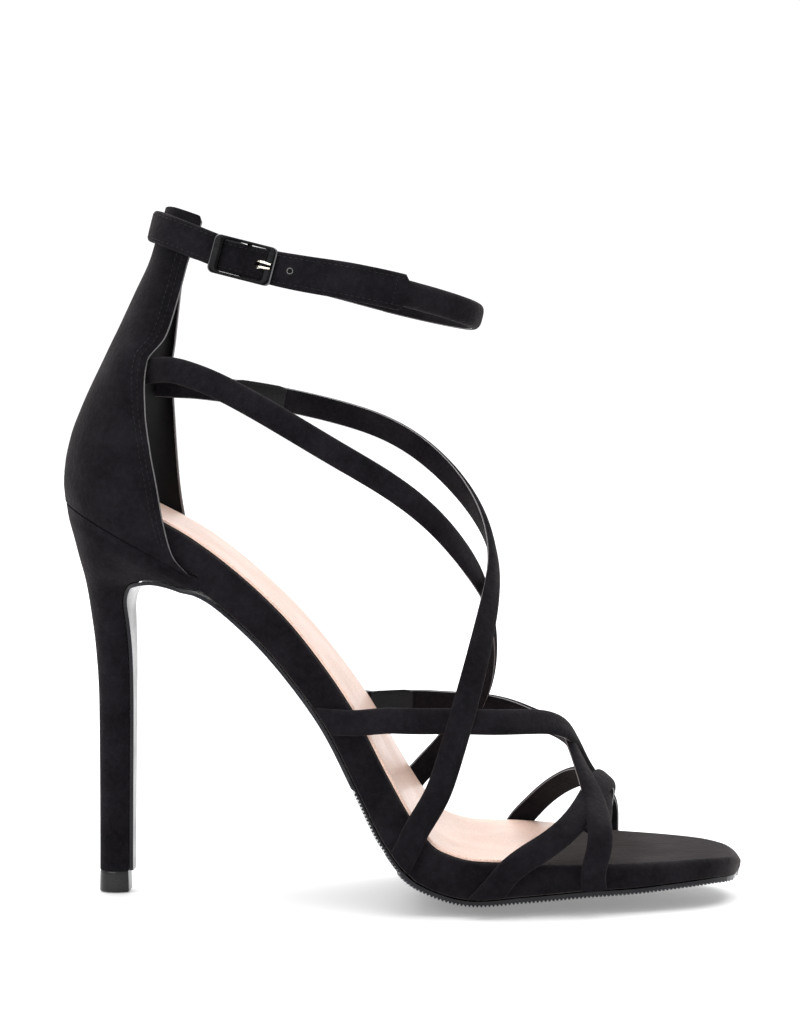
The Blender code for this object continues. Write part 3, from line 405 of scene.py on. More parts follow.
# The ankle strap's padding below which it is a flat band, and the width of its cord (of BAND_WIDTH)
# where the flat band ends on it
FLAT_BAND = 0.02
CORD_WIDTH = 0.83

# Glossy patches inside two straps: from where to where along the strap, their thickness, how far they
# are wider than the strap on each side, how wide their first rings are, and where their seams run
# (both shares of the half-width)
PATCHES = {"heel_medial_to_ball_lateral": (0.0225, 0.0385), "waist_medial_to_toe_lateral": (0.009, 0.0225)}
PATCH_THICKNESS = 0.0006
PATCH_MARGIN = 0.0003
PATCH_ENDS = (0.82, 0.95, 1.0)
PATCH_SEAM = 0.78

# How far the stitches stand over the counter and sink into the ankle strap, where the ankle strap's
# seams run (of its half-width), what its turned edges add to its width, and the pitch of the closer
# stitches (of the usual one), which run across its ends out to this share of its width
STITCH_RISE = 0.00006
STITCH_SINK = 0.00008
SEAM_SHARE = 0.74
TURNED_EDGE = 0.0004
CLOSE_PITCH = 0.8
END_SEAM = 0.36

# The heel tip from the floor up: height (of TOP_LIFT) and spread over the heel's own section
TIP_PROFILE = ((0.0, 0.96), (0.03, 1.01), (0.08, 1.03), (0.45, 1.015), (0.85, 1.0), (0.95, 0.99), (1.0, 0.96))

# The buckle: how many degrees apart the points of its sections stand, the inner corners' radius (of the
# outer one) and the centre bar's thickness (of BUCKLE_RAIL) and bends (of BUCKLE_POST)
SECTION_TURN = 18
INNER_CORNER = 0.6
POST_THICKNESS = 0.9
POST_BEND = 0.4

# How square the sections of the small pieces are, from a round one (2) up
SQUARE = {"frame": 3.0, "bar": 2.6, "prong": 2.8, "patch": 5.0}

# The prong: how many sections, how much it narrows in how many of the last ones, how deep the groove
# along it is (of half its thickness), and which point of a section lies in it; the strips beside that
# point take the dark metal, painted shade in the groove
PRONG_SECTIONS = 24
PRONG_TAPER = 0.2
TAPER_SECTIONS = 5
PRONG_GROOVE = 0.7
GROOVE_POINT = 5

# The spot on the floor under the sandal's middle; the camera's yaw and pitch in degrees, the place
# along the sandal that it looks at, and its height
SANDAL_MIDDLE = (0.09, 0.0, 0.0)
CAMERA_TURN = (2.5, 88.675)
CAMERA_AT = (0.0826, 0.1287)


def fraction(name, description, default, low=0.0, high=1.0):
    """A number without a unit, for a settings group."""
    return bpy.props.FloatProperty(name=name, description=description, default=default, min=low, max=high,
                                   subtype="FACTOR")


def size(name, description, default, high=0.1):
    """A length, for a settings group."""
    return bpy.props.FloatProperty(name=name, description=description, default=default, min=0.0, max=high,
                                   precision=5, subtype="DISTANCE", unit="LENGTH")


def tint(name, description, default):
    """A colour, for a settings group."""
    return bpy.props.FloatVectorProperty(name=name, description=description, default=default, size=3,
                                         min=0.0, max=1.0, subtype="COLOR")


class SandalSuedeSettings(bpy.types.PropertyGroup):
    """The suede that wraps the heel, the platform and the straps."""
    dark: tint("Deep colour", "Suede where the nap lies flat", (0.0036, 0.0031, 0.0041))
    light: tint("Brushed colour", "Suede where the nap is brushed up", (0.0132, 0.0115, 0.0146))
    nap: size("Nap size", "Size of the nap's smallest tufts", 0.00035)
    depth: size("Nap depth", "How far the tufts stand out", 0.00010)
    fuzz: fraction("Fuzz", "How strongly the fibres catch a grazing light", 0.06)


class SandalLiningSettings(bpy.types.PropertyGroup):
    """The linings, their cut edges and the sewing thread."""
    blush: tint("Blush", "Lining of the footbed", (0.90, 0.63, 0.52))
    black: tint("Black", "Lining of the straps and the counter", (0.0065, 0.0060, 0.0070))
    # The counter's cut edge is lighter than its lining: partly its own colour, partly a painted rim highlight
    edge: tint("Counter's cut edge", "Backing that shows along the counter's lining", (0.26, 0.25, 0.255))
    # The straps' cut edges are lighter too: partly their own colour, partly a painted rim highlight
    strap_edge_and_rim_highlight: tint("Strap's cut edge", "Backing that shows along a strap's lining", (0.13, 0.12, 0.125))
    rim: tint("Hole rim", "Rim pressed round a punched hole", (0.13, 0.125, 0.125))
    thread: tint("Thread", "Sewing thread", (0.005, 0.0045, 0.0055))
    stitch: size("Stitch length", "Length of one stitch", 0.0011)
    pitch: size("Stitch pitch", "Distance from stitch to stitch", 0.0016)
    thickness: size("Thread thickness", "Thickness of the thread", 0.0003)


class SandalSoleSettings(bpy.types.PropertyGroup):
    """The thin outer sole and the heel's tip."""
    colour: tint("Sole colour", "Colour of the outer sole", (0.0045, 0.004, 0.007))
    tip: tint("Tip colour", "Colour of the heel's tip", (0.005, 0.005, 0.006))
    rib_pitch: size("Rib pitch", "Distance from rib to rib under the forepart", 0.0011)
    rib_depth: size("Rib depth", "Depth of the grooves between ribs", 0.0005)
    ribs_from: fraction("Ribs from", "Where the ribs begin, as a share of the length", 0.482)


class SandalBuckleSettings(bpy.types.PropertyGroup):
    """The buckle's metal."""
    dark: tint("Frame metal", "Colour of the polished frame", (0.003, 0.003, 0.0035))
    # The bevel's lighter metal is partly a polished edge and partly a painted highlight
    edge: tint("Frame edge", "Colour of the frame's bevelled edge", (0.10, 0.10, 0.105))
    pale: tint("Prong metal", "Colour of the prong", (0.82, 0.74, 0.62))
    corner: size("Corner radius", "Outer radius of the frame's corners", 0.0017)


class SandalStageSettings(bpy.types.PropertyGroup):
    """The floor, the lamps and the camera."""
    floor: tint("Floor colour", "Colour of the pale floor", (0.78, 0.78, 0.79))
    sky: fraction("Surround", "Brightness of the pale surround as it lights the sandal", 0.42, high=4.0)
    glow: fraction("Floor glow", "How much the floor near the sandal shines by itself", 0.26)
    key: bpy.props.FloatProperty(name="Key lamp", description="Power of the large soft lamp", default=26.0,
                                 min=0.0, unit="POWER")
    lens: bpy.props.FloatProperty(name="Lens", description="Focal length of the camera", default=92.97,
                                  min=1.0, unit="CAMERA")
    distance: size("Distance", "How far the camera stands from the sandal", 0.752, high=10.0)


@functools.cache
def curve_through(xs, ys):
    """Steps and slopes of a cubic curve through points. Between a slow and a fast stretch the slow one
    counts more, so that the curve doesn't overshoot."""
    steps = [late - early for early, late in zip(xs, xs[1:])]
    chords = [(late - early) / step for early, late, step in zip(ys, ys[1:], steps)]
    slopes = [chords[0]]
    for i, (early, late) in enumerate(zip(chords, chords[1:])):
        if early * late > 0:
            slopes.append(2 * early * late / (early + late))
        else:
            slopes.append((early * steps[i + 1] + late * steps[i]) / (steps[i] + steps[i + 1]))
    return steps, slopes + [chords[-1]]


def hermite(xs, ys, at):
    """Read a cubic curve through points."""
    steps, slopes = curve_through(xs, ys)
    k = int(min(max(np.searchsorted(xs, at) - 1, 0), len(xs) - 2))
    t = (at - xs[k]) / steps[k]
    near = (1 + 2 * t) * (1 - t) ** 2 * ys[k] + t * (1 - t) ** 2 * steps[k] * slopes[k]
    far = t * t * (3 - 2 * t) * ys[k + 1] - t * t * (1 - t) * steps[k] * slopes[k + 1]
    return near + far


def read(table, column, at):
    """Read a table's column smoothly, at a place along its first column."""
    return hermite(table["along"], table[column], at)


def ramp(t):
    """A soft step from 0 to 1."""
    t = min(max(t, 0.0), 1.0)
    return t * t * (3 - 2 * t)


def unit(vector):
    return vector / math.sqrt(float(np.dot(vector, vector)))


def seat_end(front):
    """The seat's back or front end, x and z, where heel, counter and platform meet."""
    x = HEEL["front"][-1] if front else HEEL["back"][-1]
    return np.array([x * SEAT_LENGTH, HEEL_HEIGHT - (SEAT_DROP if front else 0.0)])


def seat_plane(x):
    """Height of the sloping face on top of the heel."""
    back, front = seat_end(False), seat_end(True)
    return back[1] + (x - back[0]) * (front[1] - back[1]) / (front[0] - back[0])


@functools.cache
def footbed_line(along):
    """The footbed's centre line: x and z at a share of the sole's length."""
    return np.array([SEAT_BACK + along * SOLE_LENGTH, FOREFOOT_TOP + read(SOLE, "up", along) * SEAT_RISE])


@functools.cache
def sole_station(along):
    """One section of the platform: its top and its base at the centre, half-widths and crown."""
    top = footbed_line(along)
    ahead = unit(footbed_line(along + NEARBY) - footbed_line(along - NEARBY))
    lean = math.atan2(-ahead[1], ahead[0]) * ramp((along - UPRIGHT_TO) / (SQUARE_FROM - UPRIGHT_TO))
    down = np.array([-math.sin(lean), -math.cos(lean)])
    thick = read(SOLE, "thick", along) * PLATFORM
    back, front = seat_end(False), seat_end(True)
    slope = (front[1] - back[1]) / (front[0] - back[0])
    to_seat = (seat_plane(top[0]) + GAP - top[1]) / (down[1] - slope * down[0])
    past_seat = (top[0] + to_seat * down[0] - front[0] - GAP) / SEAT_STEP
    if past_seat < 1.0:
        thick = to_seat + (thick - to_seat) * ramp(past_seat)
    nose = min(max((along - NOSE_FROM) / (1 - NOSE_FROM), 0.0), 1.0)
    fall = 1 - math.sqrt(1 - nose ** 2)
    top = top + down * thick * NOSE_TOP * fall
    thick = thick * (1 - (NOSE_TOP + NOSE_BASE) * fall)
    room = SEAT_WIDTH / 2 - COUNTER_WALL - EDGE_CLEARANCE
    start = SEAT_BACK + COUNTER_WALL + EDGE_CLEARANCE
    depth = min(max((top[0] - start) / room, 0.0), 1.0)
    inside = room * math.sqrt(1 - (1 - depth) ** 2) + max(0.0, top[0] - front[0]) * SEAT_FLARE
    halves = [min(read(SOLE, side, along) * BALL_WIDTH, inside) for side in ("lateral", "medial")]
    return {"top": top, "base": top + down * thick, "down": down, "thick": thick,
            "crown": max(read(SOLE, "crown", along), 0.0) * PLATFORM, "lateral": halves[0],
            "medial": halves[1], "past_seat": past_seat}


def crown_lift(share):
    """How far the crowned underside has risen at a share of the half-width, from 0 to 1."""
    return abs(share) ** CROWN_POWER


def last_point(along, around):
    """A point of the last: an arch of an ellipse that stands on the footbed's two edges, and past
    an edge the platform's wall down to the feather line."""
    station = sole_station(along)
    side = "medial" if around > 0 else "lateral"
    sign = 1.0 if around > 0 else -1.0
    edge = read(SOLE, side, along) * BALL_WIDTH + WALL_BULGE + EDGE_CLEARANCE
    foot = footbed_line(along)
    ridge = np.array([SEAT_BACK + read(LAST, "ridge_along", along) * SOLE_LENGTH,
                      FOREFOOT_TOP + read(LAST, "ridge_up", along) * INSTEP_RISE])
    share = min(abs(around), 1.0)
    wide = max(read(LAST, side, along) * BALL_WIDTH, edge)
    reach = math.pi - math.asin(edge / wide)
    turn = share * reach
    height = (math.cos(turn) - math.cos(reach)) / (1 - math.cos(reach))
    spot = foot + (ridge - foot) * height
    wall = station["down"] * (station["thick"] - station["crown"]) * max(0.0, abs(around) - 1.0)
    return np.array([spot[0] + wall[0], sign * wide * math.sin(turn), spot[1] + wall[1]])


def last_forward(along, around):
    """The direction along the last at a point."""
    return unit(last_point(along + NEARBY, around) - last_point(along - NEARBY, around))


def last_normal(along, around):
    """The last's outward direction at a point."""
    over = last_point(along, around + NEARBY_AROUND) - last_point(along, around - NEARBY_AROUND)
    return unit(np.cross(last_forward(along, around), over))


def seat_curve(share, half, front_half, widest):
    """A seat-shaped section: how far forward (0 to 1) and how far out it is at a share of the way
    from the middle of its back (0) to its front edge (1)."""
    if share < ROUND_SHARE:
        turn = share / ROUND_SHARE * math.pi / 2
        return widest * (1 - math.cos(turn)), half * math.sin(turn)
    rest = (share - ROUND_SHARE) / (1 - ROUND_SHARE)
    return widest + (1 - widest) * rest, half + (front_half - half) * rest ** 2


def heel_row(row):
    """The two ends of a heel section, x and z."""
    foot = TOP_LIFT + GAP
    tall = HEEL_HEIGHT - foot
    back = np.array([read(HEEL, "back", row) * SEAT_LENGTH, foot + read(HEEL, "back_up", row) * tall])
    front = np.array([read(HEEL, "front", row) * SEAT_LENGTH, foot + read(HEEL, "front_up", row) * tall])
    return back, front


def heel_ring(row, back, front):
    """A heel section: round at the back, with a flat or slightly crowned breast."""
    half = read(HEEL, "half", row) * SEAT_WIDTH
    breast = read(HEEL, "breast", row) * SEAT_WIDTH
    crown = read(HEEL, "crown", row) * SEAT_WIDTH
    length = math.dist(front, back)
    ahead = (front - back) / length
    corner = CORNER_BACK * length
    side = []
    for share in np.linspace(0.0, 0.9, 19):
        forward, out = seat_curve(share, half, breast, HEEL_WIDEST)
        side.append((forward * (length - crown), out))
    for turn in np.radians((0, 30, 60, 90)):
        side.append((length - crown - corner * (1 - math.sin(turn)),
                     breast * CORNER_OUT - corner * (1 - math.cos(turn))))
    farthest = side[-1][1]
    for share in (0.88, 0.75, 0.6, 0.45, 0.3, 0.15, 0.0):
        side.append((length - crown * crown_lift(share / BREAST_REACH), min(breast * share, farthest)))
    loop = [(forward, -out) for forward, out in side] + [(forward, out) for forward, out in side[-2:0:-1]]
    return [np.array([back[0] + ahead[0] * f, out, back[1] + ahead[1] * f]) for f, out in loop]


def counter_end(row, end, up):
    """The back or a front edge of a counter section, x and z."""
    rows = tuple(range(len(COUNTER["back"])))
    x = hermite(rows, COUNTER[end], row) * SEAT_LENGTH
    z = HEEL_HEIGHT + GAP + hermite(rows, COUNTER[up], row) * COUNTER_HEIGHT
    return np.array([x, max(z, seat_plane(x) + GAP)])


def counter_point(row, share, depth):
    """A point of the counter: share of the way from the back (0) to an edge (-1 or 1), and depth
    under its outer face."""
    rows = tuple(range(len(COUNTER["back"])))
    back = counter_end(row, "back", "back_up")
    front = counter_end(row, "medial" if share > 0 else "lateral", "front_up")
    length = math.dist(front, back)
    ahead = (front - back) / length
    half = hermite(rows, COUNTER["half"], row) * SEAT_WIDTH - depth
    forward, out = seat_curve(abs(share), half, half * COUNTER_FRONT, hermite(rows, COUNTER["widest"], row))
    spot = back + ahead * (depth + forward * (length - depth))
    return np.array([spot[0], math.copysign(out, share), spot[1]])


def marks_along(spots):
    """How far along a line of spots each of them lies, from the first one."""
    return np.concatenate(([0.0], np.cumsum(np.linalg.norm(np.diff(spots, axis=0), axis=1))))


def path_through(rows, place):
    """Read a route smoothly: a function from distance to its row values, and its whole length."""
    marks = tuple(marks_along(np.array([place(row) for row in rows])))
    columns = list(zip(*rows))

    def at(distance):
        return [hermite(marks, column, distance) for column in columns]
    return at, marks[-1]


def direction(line, k, reach=1):
    """The direction of a line of spots at one of them."""
    return unit(np.array(line[min(k + reach, len(line) - 1)]) - np.array(line[max(k - reach, 0)]))


def ankle_axes():
    """The ankle loop's origin at the counter's back, and its forward, medial and upward axes."""
    back = counter_end(len(COUNTER["back"]) - 2, "back", "back_up")
    tilt = math.radians(ANKLE_TILT)
    forward = np.array([math.cos(tilt), 0.0, -math.sin(tilt)])
    up = np.array([math.sin(tilt), 0.0, math.cos(tilt)])
    origin = np.array([back[0], 0.0, back[1]]) - forward * (GAP * 2 + BAND_THICKNESS / 2)
    return origin, forward, np.array([0.0, 1.0, 0.0]), up


def ankle_spot(row):
    origin, forward, medial, up = ankle_axes()
    return (origin + forward * row[0] * ANKLE_LENGTH + medial * row[1] * ANKLE_WIDTH
            + up * row[2] * BAND_WIDTH)


def ankle_frame(distance):
    """Place, forward, outward and upward directions of the ankle strap at a distance from its
    free end, measured along it."""
    at, length = path_through(ANKLE, ankle_spot)
    place = length - distance
    ahead = unit(ankle_spot(at(place - ANKLE_NEARBY)) - ankle_spot(at(place + ANKLE_NEARBY)))
    out = unit(np.cross(ahead, ankle_axes()[3]))
    return ankle_spot(at(place)), ahead, out, np.cross(out, ahead)


def prong_climb():
    """Where the prong leaves the strap's underside and where it has risen over the frame's front
    bar, ahead of the buckle's middle."""
    end = BUCKLE_LENGTH / 2 - BUCKLE_BAR - GAP
    return end - PRONG_CLIMB, end


def bar_depth():
    """How far the buckle's face and its centre bar lie from the strap's middle."""
    return BAND_THICKNESS / 2 + GAP + BUCKLE_DEPTH / 2


def start_afresh():
    """Leave edit mode and select nothing, since an operator acts on all that is selected."""
    if bpy.context.mode != "OBJECT":
        bpy.ops.object.mode_set(mode="OBJECT")
    bpy.ops.object.select_all(action="DESELECT")


def select_only(piece):
    """Select one piece and make it active."""
    start_afresh()
    piece.select_set(True)
    bpy.context.view_layer.objects.active = piece


def edited(step, **values):
    """Run an edit operator on the whole active piece."""
    bpy.ops.object.mode_set(mode="EDIT")
    bpy.ops.mesh.select_all(action="SELECT")
    step(**values)
    bpy.ops.object.mode_set(mode="OBJECT")


def turned_to(piece, spot, *axes):
    """Turn a piece so that its own x, y and z run along three directions, and move it to a spot."""
    piece.data.transform(Matrix([[*axis] for axis in axes]).transposed().to_4x4())
    piece.data.transform(Matrix.Translation(Vector(spot)))


def laid_in_rings(name, rings, looks, bands=(0,), closed=True, capped=True, looped=False):
    """A grid whose rows are carried to rings of points. It is sewn shut where a ring meets itself,
    and its two ends are filled. bands names the look of each strip between two points of a ring."""
    rings = np.array(rings, float)
    if closed:
        rings = np.concatenate([rings, rings[:, :1]], axis=1)
    if looped:
        rings = np.concatenate([rings, rings[:1]], axis=0)
    long, wide = rings.shape[0] - 1, rings.shape[1] - 1
    start_afresh()
    bpy.ops.mesh.primitive_grid_add(x_subdivisions=long, y_subdivisions=wide, size=1.0)
    piece = bpy.context.active_object
    piece.name = piece.data.name = name
    mesh = piece.data
    flat = np.empty(len(mesh.vertices) * 3)
    mesh.vertices.foreach_get("co", flat)
    flat = flat.reshape(-1, 3)
    row = np.rint((flat[:, 0] + 0.5) * long).astype(int)
    column = np.rint((flat[:, 1] + 0.5) * wide).astype(int)
    mesh.vertices.foreach_set("co", rings[row, column].ravel())
    corners = np.empty(len(mesh.loops), int)
    mesh.loops.foreach_get("vertex_index", corners)
    strips = column[corners].reshape(-1, 4).min(axis=1)
    bands = np.resize(np.array(bands, int), wide)
    for look in looks:
        mesh.materials.append(look)
    mesh.polygons.foreach_set("material_index", bands[strips])
    edited(bpy.ops.mesh.remove_doubles, threshold=1e-6)
    if capped and not looped:
        edited(bpy.ops.mesh.fill_holes, sides=0)
    edited(bpy.ops.mesh.normals_make_consistent, inside=False)
    return piece


def modify(piece, kind, **values):
    """Add a modifier and apply it."""
    select_only(piece)
    step = piece.modifiers.new(kind.title(), kind)
    for key, value in values.items():
        setattr(step, key, value)
    bpy.ops.object.modifier_apply(modifier=step.name)


def smooth(piece, angle=None):
    """Shade a piece smooth, or only across edges flatter than an angle in degrees."""
    select_only(piece)
    if angle is None:
        bpy.ops.object.shade_smooth()
    else:
        bpy.ops.object.shade_smooth_by_angle(angle=math.radians(angle))


def belongs(piece, slot, *nodes, angle=None):
    """A finished piece is shaded, rides on the sandal and stands for its solids."""
    smooth(piece, angle)
    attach(piece, "root")
    if nodes:
        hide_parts(*nodes)


def node(tree, kind, inputs=None, **settings):
    """Add a shader node; each of its inputs is a value or another node's output."""
    new = tree.nodes.new("ShaderNode" + kind)
    for key, value in settings.items():
        setattr(new, key, value)
    for key, value in (inputs or {}).items():
        if isinstance(value, bpy.types.NodeSocket):
            tree.links.new(value, new.inputs[key])
        else:
            new.inputs[key].default_value = value
    return new


def effect(name, inputs):
    """A node group for a surface, with sockets for what it takes and puts out: its tree, what it is
    given, the node that ends it, and the object's own coordinates."""
    tree = bpy.data.node_groups.new(name, "ShaderNodeTree")
    for label, kind, value in inputs:
        socket = tree.interface.new_socket(name=label, in_out="INPUT", socket_type="NodeSocket" + kind)
        socket.default_value = value
    for label, kind in (("Color", "Color"), ("Normal", "Vector"), ("Roughness", "Float")):
        tree.interface.new_socket(name=label, in_out="OUTPUT", socket_type="NodeSocket" + kind)
    given = tree.nodes.new("NodeGroupInput").outputs
    made = tree.nodes.new("NodeGroupOutput").inputs
    return tree, given, made, node(tree, "TexCoord").outputs["Object"]


def put_out(tree, made, colour, height, distance, strength, rough):
    """End an effect: its colour, a bump from its height, and its roughness."""
    bump = node(tree, "Bump", {"Height": height, "Distance": distance, "Strength": strength})
    tree.links.new(colour, made["Color"])
    tree.links.new(bump.outputs["Normal"], made["Normal"])
    tree.links.new(rough, made["Roughness"])
    return tree


def math_node(tree, operation, a, b):
    return node(tree, "Math", {0: a, 1: b}, operation=operation).outputs[0]


def spread(tree, value, **limits):
    """Spread a value between limits, such as From_Min or To_Max."""
    values = {key.replace("_", " "): limit for key, limit in limits.items()}
    return node(tree, "MapRange", {"Value": value, **values}).outputs[0]


def mixed(tree, share, low, high):
    """A colour between two colours."""
    return node(tree, "Mix", {"Factor": share, 6: low, 7: high}, data_type="RGBA").outputs[2]


def patches(tree, where, scale, low, high, detail=3.0):
    """Soft patches from 0 to 1: noise, spread between a low and a high level."""
    noise = node(tree, "TexNoise", {"Vector": where, "Scale": scale, "Detail": detail})
    return spread(tree, noise.outputs["Fac"], From_Min=low, From_Max=high)


def blend(tree, first, first_share, second, second_share):
    """The sum of two values, each times its share."""
    return math_node(tree, "ADD", math_node(tree, "MULTIPLY", first, first_share),
                     math_node(tree, "MULTIPLY", second, second_share))


@functools.cache
def nap_effect():
    """Suede: fine tufts, brushed into lighter and darker patches."""
    tree, given, made, where = effect("suede nap", [
        ("Dark", "Color", (0, 0, 0, 1)), ("Light", "Color", (1, 1, 1, 1)), ("Size", "Float", 0.0003),
        ("Depth", "Float", 0.0001)])
    scale = math_node(tree, "DIVIDE", 1.0, given["Size"])
    tufts = patches(tree, where, scale, 0.30, 0.70, 4.0)
    clumps = patches(tree, where, math_node(tree, "MULTIPLY", scale, 0.22), 0.32, 0.68, 4.0)
    strokes = patches(tree, where, 85.0, 0.36, 0.66, 4.0)
    share = blend(tree, math_node(tree, "MULTIPLY", tufts, clumps), 0.75, strokes, 0.35)
    return put_out(tree, made, mixed(tree, share, given["Dark"], given["Light"]),
                   blend(tree, tufts, 1.0, clumps, 1.6), given["Depth"], 0.55,
                   spread(tree, strokes, To_Min=0.95, To_Max=0.78))


@functools.cache
def grain_effect():
    """Leather: close pores, a little darker than the skin between them."""
    tree, given, made, where = effect("leather grain", [
        ("Skin", "Color", (1, 1, 1, 1)), ("Pore", "Color", (0, 0, 0, 1)), ("Size", "Float", 0.0006),
        ("Depth", "Float", 0.00005)])
    scale = math_node(tree, "DIVIDE", 1.0, given["Size"])
    cells = node(tree, "TexVoronoi", {"Vector": where, "Scale": scale}, feature="DISTANCE_TO_EDGE")
    creases = spread(tree, cells.outputs["Distance"], From_Max=0.22)
    cloud = patches(tree, where, 60.0, 0.35, 0.65)
    share = math_node(tree, "SUBTRACT", creases, math_node(tree, "MULTIPLY", cloud, 0.25))
    return put_out(tree, made, mixed(tree, share, given["Pore"], given["Skin"]), creases, given["Depth"],
                   0.5, spread(tree, cloud, To_Min=0.30, To_Max=0.46))


@functools.cache
def rub_effect():
    """Handling marks on a glossy surface: cloudy dullness and fine hairlines."""
    tree, given, made, where = effect("handling marks", [
        ("Colour", "Color", (0, 0, 0, 1)), ("Clean", "Float", 0.1), ("Dull", "Float", 0.3)])
    cloud = patches(tree, where, 140.0, 0.38, 0.66, 5.0)
    stretched = node(tree, "Mapping", {"Vector": where, "Scale": (160.0, 2600.0, 2600.0)}).outputs[0]
    hairs = patches(tree, stretched, 1.0, 0.58, 0.72, 2.0)
    share = blend(tree, cloud, 0.7, hairs, 0.3)
    worn = mixed(tree, math_node(tree, "MULTIPLY", share, 0.02), given["Colour"], (0.5, 0.5, 0.5, 1))
    return put_out(tree, made, worn, hairs, 0.00001, 0.25,
                   spread(tree, share, To_Min=given["Clean"], To_Max=given["Dull"]))


def surface(name, group, values, **constants):
    """A material whose colour, roughness and normal come from one effect. The constants are set on
    the shader itself."""
    look = bpy.data.materials.new(name)
    look.use_nodes = True
    tree = look.node_tree
    shader = tree.nodes["Principled BSDF"]
    made = tree.nodes.new("ShaderNodeGroup")
    made.node_tree = group
    for key, value in values.items():
        made.inputs[key].default_value = value
    for output, socket in (("Color", "Base Color"), ("Normal", "Normal"), ("Roughness", "Roughness")):
        tree.links.new(made.outputs[output], shader.inputs[socket])
    for key, value in constants.items():
        shader.inputs[key.replace("_", " ")].default_value = value
    look.diffuse_color = shader.inputs["Base Color"].default_value
    return look


def solid_colour(colour):
    return (*colour, 1.0)


def napped(name, dark, light, tufts, depth, **constants):
    """A napped surface between two colours, with tufts of a size and depth."""
    return surface(name, nap_effect(), {"Dark": solid_colour(dark), "Light": solid_colour(light),
                                        "Size": tufts, "Depth": depth}, **constants)


@functools.cache
def suede(name="black suede", brushed=1.0):
    """Suede; brushed is how much more the raised nap catches a grazing light."""
    settings = bpy.context.scene.sandal_suede
    return napped(name, settings.dark, settings.light, settings.nap, settings.depth,
                  Sheen_Weight=settings.fuzz * brushed, Sheen_Roughness=0.38,
                  Sheen_Tint=(0.78, 0.70, 0.68, 1.0), Specular_IOR_Level=0.06)


@functools.cache
def strap_backing():
    settings = bpy.context.scene.sandal_suede
    return napped("strap backing", settings.dark, settings.light, settings.nap * 0.7, settings.depth * 0.5,
                  Sheen_Weight=0.02, Specular_IOR_Level=0.08)


@functools.cache
def thread():
    return napped("sewing thread", bpy.context.scene.sandal_lining.thread, (0.016, 0.0145, 0.016), 0.00012,
                  0.00004, Sheen_Weight=0.08, Sheen_Roughness=0.4, Specular_IOR_Level=0.2)


def leather(name, colour, pores, depth, **constants):
    """A smooth lining leather; colour is the name of its setting."""
    skin = getattr(bpy.context.scene.sandal_lining, colour)
    pore = tuple(part * 0.72 for part in skin)
    return surface(name, grain_effect(), {"Skin": solid_colour(skin), "Pore": solid_colour(pore),
                                          "Size": pores, "Depth": depth}, **constants)


@functools.cache
def black_lining():
    return leather("black lining", "black", 0.0005, 0.00003, Specular_IOR_Level=0.15)


@functools.cache
def patch_leather():
    return leather("glossy patch", "black", 0.0009, 0.00008, Specular_IOR_Level=0.12, Coat_Weight=0.1,
                   Coat_Roughness=0.12)


@functools.cache
def blush_lining():
    return leather("blush lining", "blush", 0.0007, 0.00004, Coat_Weight=0.25, Coat_Roughness=0.25)


# The counter lining's cut edge: a lighter colour, partly the edge's own and partly a painted rim highlight
@functools.cache
def counter_edge_and_rim_highlight():
    return leather("counter cut edge with painted rim highlight", "edge", 0.0004, 0.00005)


# The straps' cut edges: a lighter colour, partly their own and partly a painted rim highlight
@functools.cache
def strap_edge_and_rim_highlight():
    return leather("strap cut edge with painted rim highlight", "strap_edge_and_rim_highlight", 0.0004, 0.00005)


@functools.cache
def hole_rim():
    return leather("hole rim", "rim", 0.0004, 0.00003)


def glossy(name, colour, clean, dull, **constants):
    """A glossy surface of one colour, from its roughness where it is clean to where it is dull."""
    return surface(name, rub_effect(), {"Colour": solid_colour(colour), "Clean": clean, "Dull": dull},
                   **constants)


@functools.cache
def glossy_sole():
    return glossy("glossy sole", bpy.context.scene.sandal_sole.colour, 0.15, 0.30,
                  Specular_IOR_Level=0.18, Coat_Weight=0.06, Coat_Roughness=0.10)


@functools.cache
def ribbed_rubber():
    return glossy("ribbed rubber", bpy.context.scene.sandal_sole.colour, 0.36, 0.55, Specular_IOR_Level=0.08)


@functools.cache
def glossy_plastic():
    return glossy("tip plastic", bpy.context.scene.sandal_sole.tip, 0.18, 0.34, Specular_IOR_Level=0.3)


@functools.cache
def dark_metal():
    return glossy("polished dark metal", bpy.context.scene.sandal_buckle.dark, 0.10, 0.22, Metallic=1.0)


# Lighter metal on the frame's bevel: partly a polished edge, partly a painted highlight
@functools.cache
def bevel_highlight_metal():
    return glossy("bevel metal with painted highlight", bpy.context.scene.sandal_buckle.edge, 0.12, 0.22, Metallic=1.0)


@functools.cache
def pale_metal():
    return glossy("pale metal", bpy.context.scene.sandal_buckle.pale, 0.14, 0.28, Metallic=1.0)


def half_outline(along, half, thick, crown):
    """One half of a platform section, from its top centre round the edge to its bottom centre: out
    from the centre and down from the footbed."""
    wall = thick - crown
    soft = EDGE_ROUND + (TOE_ROUND - EDGE_ROUND) * ramp((along - ROUNDER_FROM) / (ROUNDER_TO - ROUNDER_FROM))
    soft = min(soft, half * EDGE_LIMIT, wall * EDGE_LIMIT)
    low = min(soft, EDGE_ROUND) * FEATHER_ROUND
    outline = [((half - soft) * share, 0.0) for share in (0.0, 0.25, 0.5, 0.75, 0.9, 1.0)]
    for turn in np.radians((18, 36, 54, 72, 90)):
        outline.append((half - soft + soft * math.sin(turn), soft * (1 - math.cos(turn))))
    for share in (0.2, 0.4, 0.6, 0.8):
        bulge = WALL_BULGE * math.sin(math.pi * share)
        outline.append((half + bulge, soft + (wall - low - soft) * share))
    for turn in np.radians((0, 30, 60, 90)):
        outline.append((half - low + low * math.cos(turn), wall - low + low * math.sin(turn)))
    for share in (0.92, 0.84, 0.72, 0.58, 0.42, 0.25, 0.0):
        outline.append(((half - low) * share, thick - crown * crown_lift(share)))
    return outline


